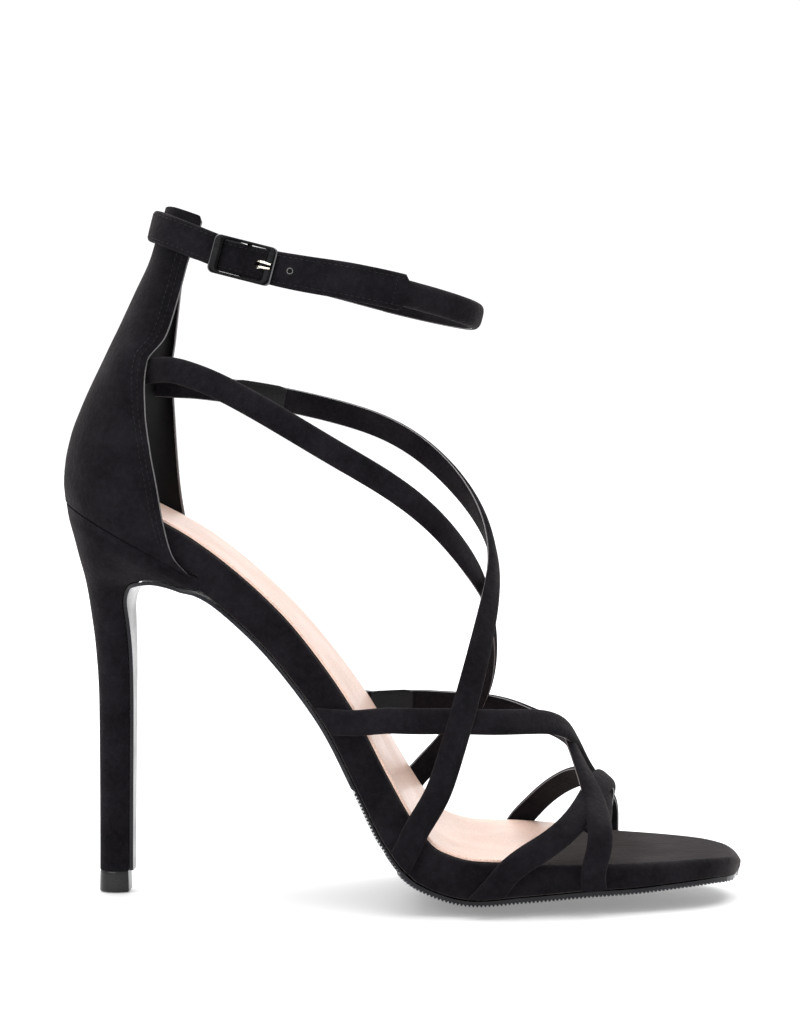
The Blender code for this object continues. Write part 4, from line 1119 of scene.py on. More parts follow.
def sole_ring(along):
    """A closed ring across the platform, from each side's half outline."""
    station = sole_station(along)
    ring = []
    for side, sign in (("medial", 1.0), ("lateral", -1.0)):
        outline = half_outline(along, station[side], station["thick"], station["crown"])
        for out, depth in outline if sign > 0 else outline[-2:0:-1]:
            spot = station["top"] + station["down"] * depth
            ring.append((spot[0], sign * out, spot[1]))
    return ring


def sole_places():
    """Places of the sole's sections: closer together at both rounded ends and at the seat's step."""
    first = (COUNTER_WALL + EDGE_CLEARANCE) / SOLE_LENGTH + FIRST_SECTION
    turns = [math.pi * k / (SOLE_SECTIONS - 1) for k in range(SOLE_SECTIONS)]
    places = [first + (1.0 - first) * (0.5 - 0.5 * math.cos(turn)) ** END_POWER for turn in turns]
    steps = [float(place) for place in np.arange(*STEP_SEARCH)
             if STEP_REACH[0] < sole_station(float(place))["past_seat"] < STEP_REACH[1]]
    clear = [place for place in places if not steps[0] - SECTION_GAP < place < steps[-1] + SECTION_GAP]
    return sorted(clear + steps)


class SANDAL_OT_platform(bpy.types.Operator):
    """Model the suede-wrapped platform"""
    bl_idname = "sandal.platform"
    bl_label = "Platform"

    def execute(self, context):
        rings = [sole_ring(along) for along in sole_places()]
        piece = laid_in_rings("platform", rings, [suede("brushed suede", 3.0)])
        belongs(piece, "suede_black", "midsole", angle=50)
        return {"FINISHED"}


def sock_outline(half):
    """One half of the footbed lining's section, from its top centre round its rounded edge to its
    bottom centre: out from the centre and down from the footbed."""
    low, high, soft = -GAP, -GAP - SOCK, SOCK * SOCK_ROUND
    half = max(half - SOCK_INSET, 0.001)
    over = [((half - soft) * share, high) for share in (0.0, 0.3, 0.6, 0.8, 0.92, 1.0)]
    edge = [(half - soft + soft * math.sin(turn), high + soft * (1 - math.cos(turn)))
            for turn in np.radians((30, 60, 90))]
    return over + edge + [(half * share, low) for share in (1.0, 0.9, 0.5, 0.0)]


class SANDAL_OT_sock(bpy.types.Operator):
    """Model the blush lining sheet on the footbed"""
    bl_idname = "sandal.sock"
    bl_label = "Footbed lining"

    def execute(self, context):
        first = sole_places()[SOCK_START]
        nominal = sock_outline(BALL_WIDTH / 2)
        points = [("medial", 1.0, k) for k in range(len(nominal))]
        points += [("lateral", -1.0, k) for k in range(len(nominal) - 2, 0, -1)]
        rings = []
        for share in np.linspace(0.0, 1.0, SOCK_SECTIONS):
            ring = []
            for side, sign, k in points:
                slant = sign * nominal[k][0] / (BALL_WIDTH / 2) * SOCK_SLANT
                front = (SOCK_LENGTH + slant) / SOLE_LENGTH
                station = sole_station(first + (front - first) * float(share))
                out, depth = sock_outline(station[side])[k]
                spot = station["top"] + station["down"] * depth
                ring.append((spot[0], sign * out, spot[1]))
            rings.append(ring)
        piece = laid_in_rings("footbed_lining", rings, [blush_lining()])
        belongs(piece, "lining_blush", "insole_sock", angle=50)
        return {"FINISHED"}


def outsole_line(settings):
    """Stations of the outer sole from the toe back under the forepart and the arch and down the
    heel's breast: where the covered surface lies, its half-widths and crown, and whether it is the
    floor of a groove."""
    line = []
    sampled = np.linspace(1.0, settings.ribs_from, 400)
    marks = marks_along(np.array([sole_station(float(along))["base"] for along in sampled]))
    quarters = np.arange(0.0, marks[-1], settings.rib_pitch / 4)
    ribbed = [(float(np.interp(mark, marks, sampled)), k % 4 > 1) for k, mark in enumerate(quarters)]
    last_rib = ribbed[-1][0]
    plain_count = math.ceil(last_rib / ARCH_STEP)
    for along, cut in ribbed + [(last_rib - ARCH_STEP * k, False) for k in range(1, plain_count)]:
        station = sole_station(along)
        if station["past_seat"] > ARCH_END:
            line.append({"spot": station["base"], "crown": station["crown"], "inward": -station["down"],
                         "lateral": station["lateral"], "medial": station["medial"], "cut": cut})
    for row in np.arange(BREAST_ROW, -HEEL_STEP / 10, -HEEL_STEP):
        row = max(float(row), 0.0)
        back, front = heel_row(row)
        half = read(HEEL, "breast", row) * SEAT_WIDTH
        line.append({"spot": front, "crown": read(HEEL, "crown", row) * SEAT_WIDTH, "cut": False,
                     "inward": unit(back - front), "lateral": half, "medial": half})
    return line


def outsole_half(thick, low):
    """One half of an outer sole section, from its bottom centre over its lip to its top centre:
    shares of the half-width and depths under the covered surface."""
    lip = [(FLAT_REACH, low * 0.98), (FLAT_REACH * 1.002, thick * 0.5)]
    return [(share, low) for share in UNDER_SHARES] + lip + [(share, 0.0) for share in OVER_SHARES]


def outsole_ring(station, out, thick, rib_depth):
    """A closed ring of the outer sole; the floor of a groove keeps clear of the ground."""
    low = thick - (rib_depth if station["cut"] else 0.0)
    half_ring = outsole_half(thick, low)
    ring = []
    for share, depth in half_ring + [(-share, depth) for share, depth in half_ring[-2:0:-1]]:
        half = station["medial"] if share > 0 else station["lateral"]
        spot = station["spot"] + station["inward"] * station["crown"] * crown_lift(share)
        spot = spot + out * (GAP + depth)
        floor = rib_depth if station["cut"] and depth == low else 0.0
        ring.append((spot[0], share * half, max(spot[1], floor)))
    return ring


class SANDAL_OT_outer_sole(bpy.types.Operator):
    """Model the thin ribbed outer sole and its strip down the heel"""
    bl_idname = "sandal.outer_sole"
    bl_label = "Outer sole"

    def execute(self, context):
        settings = context.scene.sandal_sole
        line = outsole_line(settings)
        eased = evened([(station["spot"][0], 0.0, station["spot"][1]) for station in line], ARCH_EASE)
        plain_arch, nose = footbed_line(settings.ribs_from)[0], footbed_line(NOSE_FROM)[0]
        for station, spot in zip(line, eased):
            if station["spot"][0] < plain_arch:
                station["spot"] = np.array([spot[0], spot[2]])
        spots = [station["spot"] for station in line]
        rings = []
        for k, station in enumerate(line):
            back = direction(spots, k, 3)
            out = np.array([back[1], -back[0]])
            if np.dot(out, station["inward"]) > 0:
                out = -out
            if station["spot"][0] > nose:
                out = -station["inward"]
            forepart = station["spot"][0] > SOLE_LENGTH / 2 + SEAT_BACK
            thick = OUTSOLE if forepart else OUTSOLE * ARCH_SHARE
            rings.append(outsole_ring(station, out, thick, settings.rib_depth))
        below = [1] * len(UNDER_SHARES)
        bands = below + [0] * 2 * (len(OVER_SHARES) + 1) + below
        piece = laid_in_rings("outer_sole", rings, [glossy_sole(), ribbed_rubber()], bands)
        for face in piece.data.polygons:
            if face.center.x < plain_arch:
                face.material_index = 0
        belongs(piece, "sole_black", "outsole", angle=35)
        return {"FINISHED"}


class SANDAL_OT_heel(bpy.types.Operator):
    """Model the suede-covered heel and its glossy tip"""
    bl_idname = "sandal.heel"
    bl_label = "Heel and tip"

    def execute(self, context):
        rings = []
        last = float(HEEL["along"][-1])
        for row in np.arange(0.0, last + HEEL_STEP / 100, HEEL_STEP):
            row = min(float(row), last)
            back, front = (seat_end(False), seat_end(True)) if row == last else heel_row(row)
            front = front + np.array([COVER_LAP, -COVER_LAP * LAP_DROP]) * ramp((row - LAP_FROM) / LAP_ROWS)
            ring = heel_ring(row, back, front)
            middle = sum(ring) / len(ring)
            turned = SEAM_DEPTH * max(row - last + SEAM_ROWS, 0.0) / SEAM_ROWS
            rings.append([point + unit(middle - point) * turned for point in ring])
        belongs(laid_in_rings("heel", rings, [suede()]), "suede_black", "heel", angle=55)
        back, front = heel_row(0.0)
        rings = []
        for height, spread_out in TIP_PROFILE:
            ends = [np.array([end[0] * spread_out, height * TOP_LIFT]) for end in (back, front)]
            rings.append([point * np.array([1.0, spread_out, 1.0]) for point in heel_ring(0.0, *ends)])
        tip = laid_in_rings("heel_tip", rings, [glossy_plastic()])
        belongs(tip, "plastic_black", "top_lift", angle=40)
        return {"FINISHED"}


def sewn(name, places, settings):
    """One stitch, modelled once and copied to each place: its spot, its direction and the face's
    outward direction."""
    start_afresh()
    bpy.ops.mesh.primitive_uv_sphere_add(segments=6, ring_count=6, radius=0.5)
    stitch = bpy.context.active_object
    edited(bpy.ops.transform.resize, value=(settings.thickness, settings.thickness, settings.stitch))
    stitch.data.materials.append(thread())
    copies = []
    for spot, ahead, out in places:
        ahead = unit(ahead)
        out = unit(out - ahead * np.dot(out, ahead))
        copy = stitch.copy()
        copy.data = stitch.data.copy()
        turned_to(copy, spot, np.cross(out, ahead), out, ahead)
        bpy.context.collection.objects.link(copy)
        copies.append(copy)
    bpy.data.objects.remove(stitch, do_unlink=True)
    start_afresh()
    for copy in copies:
        copy.select_set(True)
    bpy.context.view_layer.objects.active = copies[0]
    bpy.ops.object.join()
    piece = bpy.context.active_object
    piece.name = piece.data.name = name
    belongs(piece, "suede_black")


def along_line(spots, outs, pitch):
    """Evenly spaced places on a line of spots: spot, direction and outward direction."""
    spots, outs = np.array(spots), np.array(outs)
    marks = marks_along(spots)

    def at(mark, line):
        return np.array([np.interp(mark, marks, line[:, k]) for k in range(3)])
    return [(at(mark, spots), at(mark + pitch / 3, spots) - at(mark - pitch / 3, spots), at(mark, outs))
            for mark in np.arange(pitch * 0.5, marks[-1] - pitch * 0.3, pitch)]


def beside_edge(row, sign, inset):
    """A spot on the counter's outer face, an inset behind its front edge, and the outward direction."""
    shares = np.linspace(1.0, 0.3, 40) * sign
    marks = marks_along(np.array([counter_point(row, share, 0.0) for share in shares]))
    share = float(np.interp(inset, marks, shares))
    up = counter_point(row + 0.1, share, 0.0) - counter_point(row - 0.1, share, 0.0)
    over = counter_point(row, share + 0.01, 0.0) - counter_point(row, share - 0.01, 0.0)
    out = unit(np.cross(over, up))
    return counter_point(row, share, 0.0), out if out[1] * sign > 0 else -out


def counter_grid(depth, reach):
    """Points of the counter at a depth under its outer face, reaching past its front edges, with its
    top corners rounded."""
    shares = np.linspace(-1.0, 1.0, COUNTER_COLUMNS)
    rows = np.linspace(0.0, len(COUNTER["back"]) - 1.0, COUNTER_ROWS)
    grid = [[counter_point(row, share, depth) for share in shares] for row in rows]
    for row, line in zip(rows, grid):
        line[0] = line[0] + unit(line[0] - line[1]) * reach
        line[-1] = line[-1] + unit(line[-1] - line[-2]) * reach
        top = ramp((row - CORNER_ROW) / (rows[-1] - CORNER_ROW))
        for spot, share in zip(line, shares):
            near = 1 - abs(share) / CORNER_REACH[0], (abs(share) - 1) / CORNER_REACH[1] + 1
            spot[2] -= top * sum(drop * max(part, 0.0) ** 2 for drop, part in zip(CORNER_DROP, near))
    return grid


class SANDAL_OT_counter(bpy.types.Operator):
    """Model the suede heel counter, its lining and its two rows of stitches"""
    bl_idname = "sandal.counter"
    bl_label = "Heel counter"

    def execute(self, context):
        # The lining's outermost strips take the lighter cut edge, partly a painted rim highlight
        rim_highlight_edges = [1] + [0] * (COUNTER_COLUMNS - 3) + [1]
        for name, looks, depth, wall, reach, edges in (
                ("heel_counter", [suede(), suede()], 0.0, SUEDE_WALL, 0.0, (0,)),
                ("counter_lining", [black_lining(), counter_edge_and_rim_highlight()], LINING_DEPTH, LINING_WALL, LINING_REACH,
                 rim_highlight_edges)):
            piece = laid_in_rings(name, counter_grid(depth, reach), looks, edges, closed=False, capped=False)
            backmost = min(piece.data.polygons, key=lambda face: face.center.x)
            if backmost.normal.x > 0:
                select_only(piece)
                edited(bpy.ops.mesh.flip_normals)
            modify(piece, "SOLIDIFY", thickness=wall, offset=-1.0, use_even_offset=False,
                   material_offset_rim=1)
            if name == "heel_counter":
                modify(piece, "BEVEL", width=RIM_BEVEL, segments=3, limit_method="ANGLE",
                       angle_limit=math.radians(60))
            belongs(piece, "suede_black", "heel_counter", angle=50)
        settings = context.scene.sandal_lining
        places = []
        for sign in (-1.0, 1.0):
            for inset in STITCH_INSETS:
                line = [beside_edge(row, sign, inset) for row in np.linspace(*STITCH_ROWS, 60)]
                places += along_line([spot + out * STITCH_RISE for spot, out in line],
                                     [out for spot, out in line], settings.pitch)
        sewn("counter_stitches", places, settings)
        return {"FINISHED"}


def padded_section(width, thick, padded):
    """A strap's section from its right edge over the face to its left edge, then the cut edge and
    the lining below: across and out. The strap is a flat band (0) or a padded cord (1)."""
    base = -EDGE_DROP * thick
    power, root = (cord * padded + band * (1 - padded) for cord, band in zip(CORD_POWERS, BAND_POWERS))
    edge = width / 2
    face = []
    for share in FACE_SHARES:
        rise = (1 - share ** power) ** root
        groove = (1 - padded) * SEAM_GROOVE * math.exp(-((share - SEAM_SHARE) / SEAM_WIDTH) ** 2)
        face.append((share * width / 2, base + (thick / 2 - base) * rise - groove * thick))
    lining = [(edge - 0.00010, base - 0.00008), (edge - 0.00022, base - 0.00042),
              (edge - 0.0009, -thick / 2 + 0.00006), (edge * 0.5, -thick / 2), (0.0, -thick / 2)]
    return face + [(-a, b) for a, b in face[-2::-1]] + [(-a, b) for a, b in lining] + lining[-2::-1]


def section_bands():
    """Which look each strip of a strap's section takes: suede face, cut edge (lighter, partly a painted rim
    highlight) or lining.
    """
    below = [0, 1, 2, 2, 2]
    return [0] * (2 * len(FACE_SHARES) - 2) + below + below[::-1]


def strap_piece(name, frames, sections):
    """A strap laid in rings: each section stands across and outward at its frame's spot."""
    rings = [[frame[0] + frame[2] * a + frame[3] * b for a, b in section]
             for frame, section in zip(frames, sections)]
    return laid_in_rings(name, rings, [suede(), strap_edge_and_rim_highlight(), strap_backing()], section_bands())


def evened(line, reach):
    """A line of vectors smoothed along itself, with its two ends kept."""
    line = np.array(line)
    weights = np.exp(-0.5 * (np.arange(-3 * reach, 3 * reach + 1) / reach) ** 2)
    ahead = 2 * line[0] - line[3 * reach:0:-1]
    after = 2 * line[-1] - line[-2:-3 * reach - 2:-1]
    long = np.concatenate([ahead, line, after])
    return np.stack([np.convolve(long[:, k], weights / weights.sum(), "valid") for k in range(3)], axis=1)


def strap_frames(route, tucked=False, raised=0.0):
    """Places along a strap of the upper: spot, direction, across, outward and the share of its full
    thickness. A tucked strap begins thin behind the counter's edge, raised by a distance."""
    at, length = path_through(route, lambda row: last_point(row[0], row[1]))
    count = round(length / FINE_STEP)
    rows = [at(length * k / count) for k in range(count + 1)]
    rises = [last_normal(row[0], row[1]) for row in rows]
    spots = [last_point(row[0], row[1]) + rise * STRAP_THICKNESS * (0.5 + row[2])
             for row, rise in zip(rows, rises)]
    spots = [spot + (0.0, 0.0, raised * (1 - ramp(k / RAISED_STEPS))) for k, spot in enumerate(spots)]
    calm = evened(spots, CALM_EASE)
    spots, rises = evened(spots, STRAP_EASE), list(evened(rises, STRAP_EASE))
    if tucked:
        shares = np.array([ramp((CALM_TO - abs(row[1])) / CALM_FADE) * ramp(k / CALM_START)
                           for k, row in enumerate(rows)])
        spots = spots + (calm - spots) * shares[:, None]
    spots = list(spots)
    full = [1.0] * len(spots)
    if tucked:
        back = (spots[0] - spots[2]) / 2
        spots = [spots[0] + back * k for k in range(TUCK_STEPS, 0, -1)] + spots
        rises = [rises[0]] * TUCK_STEPS + rises
        rows = [rows[0]] * TUCK_STEPS + rows
        past_tuck = [k - TUCK_STEPS for k in range(len(spots))]
        full = [TUCK_THIN + (1 - TUCK_THIN) * ramp(k / TUCK_THICK) for k in past_tuck]
        spots = [spot - unit(rise) * TUCK_DEPTH * (1 - ramp(k / TUCK_OUT))
                 for k, spot, rise in zip(past_tuck, spots, rises)]
    frames = []
    for k, spot in enumerate(spots):
        ahead = direction(spots, k)
        out = unit(rises[k] - ahead * np.dot(rises[k], ahead))
        over = np.cross(out, ahead)
        along, around = rows[k][:2]
        if abs(around) > FEATHER_CUT:
            edge = last_forward(along, around)
            slant = ahead * np.dot(edge, ahead) / np.dot(edge, over)
            over = over + slant * ramp((abs(around) - FEATHER_CUT) / FEATHER_FADE)
        frames.append((spot, ahead, over, out, full[k]))
    return frames


class SANDAL_OT_straps(bpy.types.Operator):
    """Model the six padded straps over the foot"""
    bl_idname = "sandal.straps"
    bl_label = "Straps"

    def execute(self, context):
        settings = context.scene.sandal_lining
        section = padded_section(STRAP_WIDTH, STRAP_THICKNESS, STRAP_PADDING)
        places = []
        for name, route in STRAPS.items():
            frames = strap_frames(route, name in START_RAISED, START_RAISED.get(name, 0.0))
            if name.startswith("ball"):
                frames = frames[:-HIDDEN_STEPS]
            sections = [[(a, b * frame[4]) for a, b in section] for frame in frames]
            belongs(strap_piece("strap_" + name, frames, sections), "suede_black", "upper_straps", angle=50)
            if name in PATCHES:
                places += self.patch(name, frames, settings)
        sewn("strap_stitches", places, settings)
        return {"FINISHED"}

    def patch(self, name, frames, settings):
        """A glossy lining patch sewn inside a strap, and the places of its stitches."""
        first, last = (round(mark / FINE_STEP) for mark in PATCHES[name])
        held = frames[first:last + 1]
        inside = STRAP_THICKNESS / 2 + PATCH_THICKNESS / 2
        half = STRAP_WIDTH / 2 + PATCH_MARGIN
        corners = [rounded(turn, SQUARE["patch"]) for turn in np.radians(np.arange(0, 360, 20))]
        rings = []
        for k, (spot, ahead, over, out, full) in enumerate(held):
            narrow = PATCH_ENDS[min(k, len(held) - 1 - k, len(PATCH_ENDS) - 1)]
            rings.append([spot - out * (inside - b * PATCH_THICKNESS / 2) + over * a * half * narrow
                          for a, b in corners])
        belongs(laid_in_rings("patch_" + name, rings, [patch_leather()]), "suede_black", angle=60)
        sunk = inside + PATCH_THICKNESS / 2 - STITCH_SINK / 2
        places = []
        for side in (-PATCH_SEAM, PATCH_SEAM):
            line = [spot - out * sunk + over * half * side for spot, ahead, over, out, full in held[1:-1]]
            places += along_line(line, [-frame[3] for frame in held[1:-1]], settings.pitch * CLOSE_PITCH)
        return places


def ankle_frames():
    """Places along the ankle strap: spot, direction, across, outward, width, thickness and padding."""
    at, length = path_through(ANKLE, ankle_spot)
    count = round(length / FINE_STEP)
    rows = [at(length * k / count) for k in range(count + 1)]
    spots = [ankle_spot(row) for row in rows]
    up = ankle_axes()[3]
    frames = []
    for k, (spot, row) in enumerate(zip(spots, rows)):
        ahead = direction(spots, k)
        out = unit(np.cross(up, ahead))
        width, padded = row[3], min(max(row[4], 0.0), 1.0)
        if k > count / 2 and padded > FLAT_BAND:
            width, padded = CORD_WIDTH, 1.0
        thick = BAND_THICKNESS + (CORD_THICKNESS - BAND_THICKNESS) * padded
        wide = width * BAND_WIDTH + TURNED_EDGE
        frames.append((spot, ahead, np.cross(out, ahead), out, wide, thick, padded))
    return frames


def carved(piece, cutter):
    """Cut a piece by a cutter, which is then thrown away."""
    modify(piece, "BOOLEAN", operation="DIFFERENCE", solver="EXACT", object=cutter)
    bpy.data.objects.remove(cutter, do_unlink=True)


def punch(hole, long, tall):
    """An oval cutter through the ankle strap."""
    spot, ahead, out, up = hole
    start_afresh()
    bpy.ops.mesh.primitive_cylinder_add(vertices=32, radius=0.5, depth=1.0)
    cutter = bpy.context.active_object
    edited(bpy.ops.transform.resize, value=(long, tall, 3 * BAND_THICKNESS))
    turned_to(cutter, spot, ahead, up, out)
    return cutter


class SANDAL_OT_ankle_strap(bpy.types.Operator):
    """Model the ankle strap, its stitches and its holes"""
    bl_idname = "sandal.ankle_strap"
    bl_label = "Ankle strap"

    def execute(self, context):
        settings = context.scene.sandal_lining
        frames = ankle_frames()
        sections = [padded_section(width, thick, padded * CORD_PADDING)
                    for spot, ahead, over, out, width, thick, padded in frames]
        strap = strap_piece("ankle_strap", frames, sections)
        climb = prong_climb()
        spot, ahead, out, up = ankle_frame(TAIL_PAST_BUCKLE)
        slot = (spot + ahead * (climb[0] + climb[1]) / 2, ahead, out, up)
        carved(strap, punch(slot, climb[1] - climb[0] + PRONG_THICKNESS, PRONG_WIDTH + 2 * GAP))
        for k in range(1, HOLE_COUNT):
            hole = ankle_frame(TAIL_PAST_BUCKLE + climb[0] + k * HOLE_PITCH)
            carved(strap, punch(hole, 2 * HOLE_RADIUS, 2 * HOLE_RADIUS))
            self.ring(hole)
        belongs(strap, "suede_black", "ankle_strap", angle=50)
        flat = [frame for frame in frames if frame[6] < FLAT_BAND]
        split = next(k for k, frame in enumerate(frames) if frame[6] >= FLAT_BAND)
        back, front = flat[:split], flat[split:]
        places = []
        for band, end in ((back, back[-3]), (front, front[2])):
            for side in (-SEAM_SHARE, SEAM_SHARE):
                line = [spot + over * width / 2 * side + out * (thick / 2 - STITCH_SINK)
                        for spot, ahead, over, out, width, thick, padded in band]
                places += along_line(line, [frame[3] for frame in band], settings.pitch)
            spot, ahead, over, out, width, thick, padded = end
            line = [spot + over * width * share + out * (thick / 2 - STITCH_SINK)
                    for share in (-END_SEAM, END_SEAM)]
            places += along_line(line, [out, out], settings.pitch * CLOSE_PITCH)
        sewn("ankle_strap_stitches", places, settings)
        return {"FINISHED"}

    def ring(self, hole):
        """The pale rim pressed round a punched hole."""
        spot, ahead, out, up = hole
        start_afresh()
        bpy.ops.mesh.primitive_torus_add(major_segments=32, minor_segments=10, major_radius=HOLE_RADIUS,
                                         minor_radius=RIM_RADIUS)
        rim = bpy.context.active_object
        rim.name = rim.data.name = "strap_hole_rim"
        turned_to(rim, spot + out * (BAND_THICKNESS / 2 - RIM_SINK), ahead, up, out)
        rim.data.materials.append(hole_rim())
        belongs(rim, "lining_blush")


def rounded_rectangle(length, height, radius, points=7):
    """A rectangle with round corners, anticlockwise from its right side."""
    loop = []
    for turn, (x, y) in enumerate(((1, 1), (-1, 1), (-1, -1), (1, -1))):
        centre = (x * (length / 2 - radius), y * (height / 2 - radius))
        for k in range(points):
            angle = math.radians(90 * (turn + k / (points - 1)))
            loop.append((centre[0] + radius * math.cos(angle), centre[1] + radius * math.sin(angle)))
    return loop


def rounded(turn, power):
    """A point of a rounded square with sides from -1 to 1."""
    c, s = math.cos(turn), math.sin(turn)
    return math.copysign(abs(c) ** (2 / power), c), math.copysign(abs(s) ** (2 / power), s)


class SANDAL_OT_buckle(bpy.types.Operator):
    """Model the polished buckle frame and its prong"""
    bl_idname = "sandal.buckle"
    bl_label = "Buckle"
    turns = np.radians(np.arange(0, 360, SECTION_TURN))

    def execute(self, context):
        place = ankle_frame(TAIL_PAST_BUCKLE)
        height = BAND_WIDTH + 2 * (GAP + BUCKLE_RAIL)
        self.frame(context.scene.sandal_buckle.corner, height, *place)
        self.bar((height - BUCKLE_RAIL) / 2, *place)
        self.prong(*place)
        return {"FINISHED"}

    def frame(self, corner, height, spot, ahead, out, up):
        """The flat frame; its bevel band is lighter metal, partly a polished edge and partly a painted
        highlight.
        """
        outer = rounded_rectangle(BUCKLE_LENGTH, height, corner)
        inner = rounded_rectangle(BUCKLE_LENGTH - 2 * BUCKLE_BAR, BAND_WIDTH + 2 * GAP, corner * INNER_CORNER)
        rings = []
        for (x, y), (u, v) in zip(outer, inner):
            ring = []
            for wide, deep in (rounded(turn, SQUARE["frame"]) for turn in self.turns):
                a, c = (x + u) / 2 + (x - u) / 2 * wide, (y + v) / 2 + (y - v) / 2 * wide
                ring.append(spot + ahead * a + up * c + out * (bar_depth() + deep * BUCKLE_DEPTH / 2))
            rings.append(ring)
        # The bevel band takes the lighter metal, partly polished and partly a painted highlight
        bevel = [int(k in (1, 2)) for k in range(len(self.turns))]
        piece = laid_in_rings("buckle_frame", rings, [dark_metal(), bevel_highlight_metal()], bevel, looped=True)
        belongs(piece, "metal_dark", "buckle_frame", angle=60)

    def bar(self, edge, spot, ahead, out, up):
        """The centre bar, which is bent round behind the strap from rail to rail."""
        face, bend = bar_depth(), BUCKLE_POST * POST_BEND
        line = [(face, edge), (bend - face, edge)]
        line += [(-face + bend * (1 - math.sin(turn)), edge - bend * (1 - math.cos(turn)))
                 for turn in np.radians((30, 60, 90))]
        line = line + [(depth, -rise) for depth, rise in line[::-1]]
        rings = []
        for k, (depth, rise) in enumerate(line):
            run = direction(line, k) * BUCKLE_RAIL * POST_THICKNESS / 2
            rings.append([spot + ahead * wide * BUCKLE_POST / 2 + out * (depth - run[1] * deep)
                          + up * (rise + run[0] * deep)
                          for wide, deep in (rounded(turn, SQUARE["bar"]) for turn in self.turns)])
        piece = laid_in_rings("buckle_bar", rings, [dark_metal()])
        belongs(piece, "metal_dark", "buckle_frame", angle=60)

    def prong(self, spot, ahead, out, up):
        """The prong, with a groove along it, from the centre bar up through the strap and over the frame; the
        groove's two strips take the dark metal as painted shade.
        """
        start, end = prong_climb()
        face = bar_depth()
        over = face + (BUCKLE_DEPTH + PRONG_THICKNESS) / 2
        corners = [(BUCKLE_POST / 2 + GAP, -face), (start - PRONG_THICKNESS / 2, -face),
                   (start + PRONG_THICKNESS / 2, -face * 0.6), ((start + end) / 2, face * 0.7),
                   (end - PRONG_THICKNESS, over - GAP), (end, over), (end + PRONG_LAP, over)]
        at, length = path_through(corners, np.array)
        line = [at(length * k / PRONG_SECTIONS) for k in range(PRONG_SECTIONS + 1)]
        rings = []
        for k, (a, b) in enumerate(line):
            run = direction(line, k)
            taper = 1.0 - PRONG_TAPER * ramp((k - PRONG_SECTIONS) / TAPER_SECTIONS + 1)
            ring = []
            for point, turn in enumerate(self.turns):
                wide, deep = rounded(turn, SQUARE["prong"])
                deep = (deep - PRONG_GROOVE * (point == GROOVE_POINT)) * PRONG_THICKNESS / 2
                ring.append(spot + ahead * (a - run[1] * deep) + out * (b + run[0] * deep)
                            + up * wide * PRONG_WIDTH / 2 * taper)
            rings.append(ring)
        # The groove's two strips take the dark metal: painted shade in the groove
        groove_shade_bands = [int(k in (GROOVE_POINT - 1, GROOVE_POINT)) for k in range(len(self.turns))]
        piece = laid_in_rings("buckle_prong", rings, [pale_metal(), dark_metal()], groove_shade_bands)
        belongs(piece, "metal_pale", "buckle_prong", angle=60)


def lamp(name, power, width, height, place, aim):
    """A large soft rectangular lamp."""
    start_afresh()
    bpy.ops.object.light_add(type="AREA", location=place)
    light = bpy.context.active_object
    light.name = light.data.name = name
    light.data.energy = power
    light.data.shape = "RECTANGLE"
    light.data.size, light.data.size_y = width, height
    light.rotation_euler = (Vector(aim) - Vector(place)).to_track_quat("-Z", "Y").to_euler()


def pale_floor(settings):
    """The floor's material: faintly mottled, and shining by itself, more so away from the sandal."""
    look = bpy.data.materials.new("pale floor")
    look.use_nodes = True
    tree = look.node_tree
    shader = tree.nodes["Principled BSDF"]
    where = node(tree, "TexCoord").outputs["Object"]
    pale = solid_colour(settings.floor)
    lighter = tuple(min(1.0, part * 1.01) for part in pale)
    tone = mixed(tree, patches(tree, where, 30.0, 0.3, 0.7), pale, lighter)
    away = node(tree, "VectorMath", {0: where, 1: SANDAL_MIDDLE}, operation="DISTANCE").outputs["Value"]
    glow = spread(tree, away, From_Min=0.12, From_Max=1.2, To_Min=settings.glow, To_Max=0.85)
    tree.links.new(tone, shader.inputs["Base Color"])
    tree.links.new(glow, shader.inputs["Emission Strength"])
    shader.inputs["Emission Color"].default_value = (1.0, 1.0, 1.0, 1.0)
    shader.inputs["Roughness"].default_value = 0.42
    return look


def pale_surround(settings):
    """A white surround that lights the sandal less than it shows itself."""
    world = bpy.data.worlds.new("pale surround")
    world.use_nodes = True
    tree = world.node_tree
    sky = tree.nodes["Background"]
    sky.inputs["Color"].default_value = (1.0, 1.0, 1.0, 1.0)
    scattered = node(tree, "LightPath").outputs["Is Diffuse Ray"]
    tree.links.new(spread(tree, scattered, To_Min=1.1, To_Max=settings.sky), sky.inputs["Strength"])
    return world


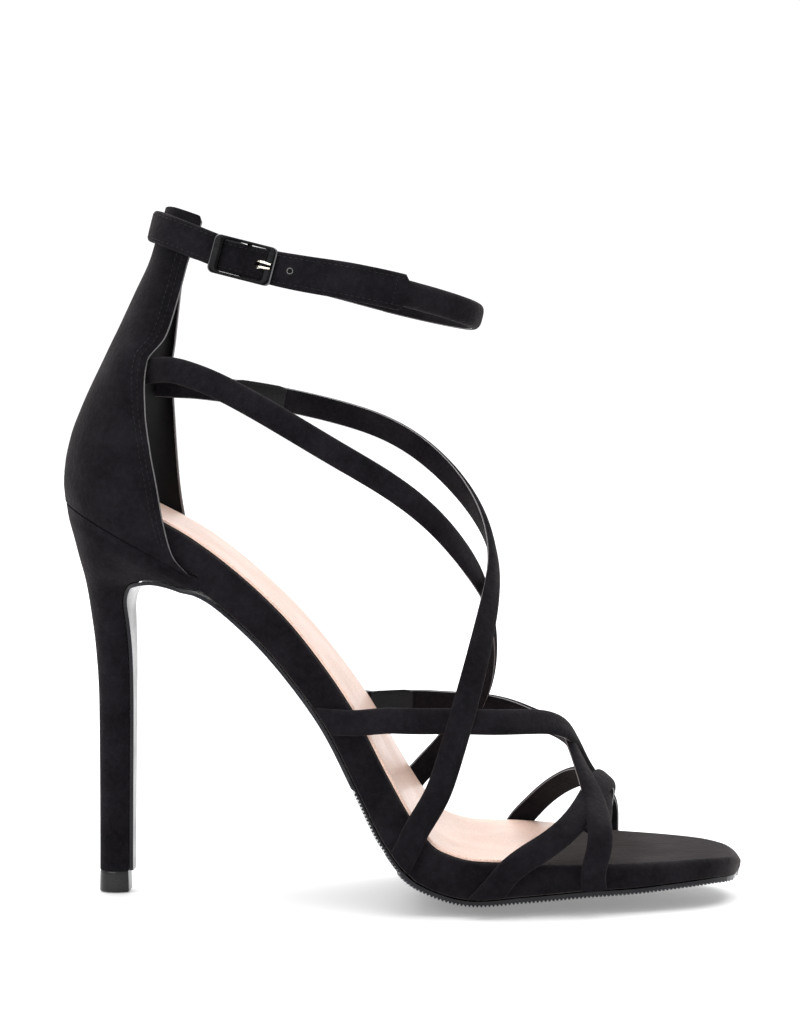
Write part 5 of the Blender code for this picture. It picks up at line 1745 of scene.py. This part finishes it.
class SANDAL_OT_stage(bpy.types.Operator):
    """Set the pale floor, the soft lamps and the camera"""
    bl_idname = "sandal.stage"
    bl_label = "Stage"

    def execute(self, context):
        settings = context.scene.sandal_stage
        start_afresh()
        bpy.ops.mesh.primitive_grid_add(x_subdivisions=24, y_subdivisions=24, size=24.0,
                                        location=(0, 0, -0.0002))
        floor = bpy.context.active_object
        floor.name = floor.data.name = "floor"
        floor.data.materials.append(pale_floor(settings))
        context.scene.world = pale_surround(settings)
        lamp("top_lamp", settings.key, 1.8, 1.4, (0.10, 0.15, 1.10), SANDAL_MIDDLE)
        lamp("front_lamp", settings.key * 0.16, 0.8, 0.6, (-0.45, -0.80, 0.55), (0.06, 0.0, 0.10))
        context.scene.view_settings.view_transform = "Standard"
        start_afresh()
        yaw, pitch = (math.radians(angle) for angle in CAMERA_TURN)
        place = (CAMERA_AT[0] + settings.distance * math.sin(yaw), -settings.distance * math.cos(yaw),
                 CAMERA_AT[1])
        bpy.ops.object.camera_add(location=place, rotation=(pitch, 0.0, yaw))
        camera = bpy.context.active_object
        camera.name = camera.data.name = "camera"
        camera.data.lens = settings.lens
        camera.data.sensor_width = 36.0
        camera.data.clip_start = 0.01
        context.scene.camera = camera
        return {"FINISHED"}


SETTINGS = {"sandal_suede": SandalSuedeSettings, "sandal_lining": SandalLiningSettings,
            "sandal_sole": SandalSoleSettings, "sandal_buckle": SandalBuckleSettings,
            "sandal_stage": SandalStageSettings}
STEPS = (SANDAL_OT_platform, SANDAL_OT_sock, SANDAL_OT_outer_sole, SANDAL_OT_heel, SANDAL_OT_counter,
         SANDAL_OT_straps, SANDAL_OT_ankle_strap, SANDAL_OT_buckle, SANDAL_OT_stage)


class SANDAL_PT_pieces(bpy.types.Panel):
    """Buttons and settings of the sandal"""
    bl_idname = "SANDAL_PT_pieces"
    bl_label = "Heeled sandal"
    bl_space_type = "VIEW_3D"
    bl_region_type = "UI"
    bl_category = "Sandal"

    def draw(self, context):
        for step in STEPS:
            self.layout.operator(step.bl_idname)
        for name, kind in SETTINGS.items():
            box = self.layout.box()
            box.label(text=kind.__doc__)
            for key in kind.__annotations__:
                box.prop(getattr(context.scene, name), key)


def register():
    for kind in (*SETTINGS.values(), *STEPS, SANDAL_PT_pieces):
        bpy.utils.register_class(kind)
    for name, kind in SETTINGS.items():
        setattr(bpy.types.Scene, name, bpy.props.PointerProperty(type=kind))


def unregister():
    for name in SETTINGS:
        delattr(bpy.types.Scene, name)
    for kind in (SANDAL_PT_pieces, *reversed(STEPS), *SETTINGS.values()):
        bpy.utils.unregister_class(kind)


def main():
    register()
    for step in STEPS:
        group, name = step.bl_idname.split(".")
        getattr(getattr(bpy.ops, group), name)()


if __name__ == "__main__":
    main()
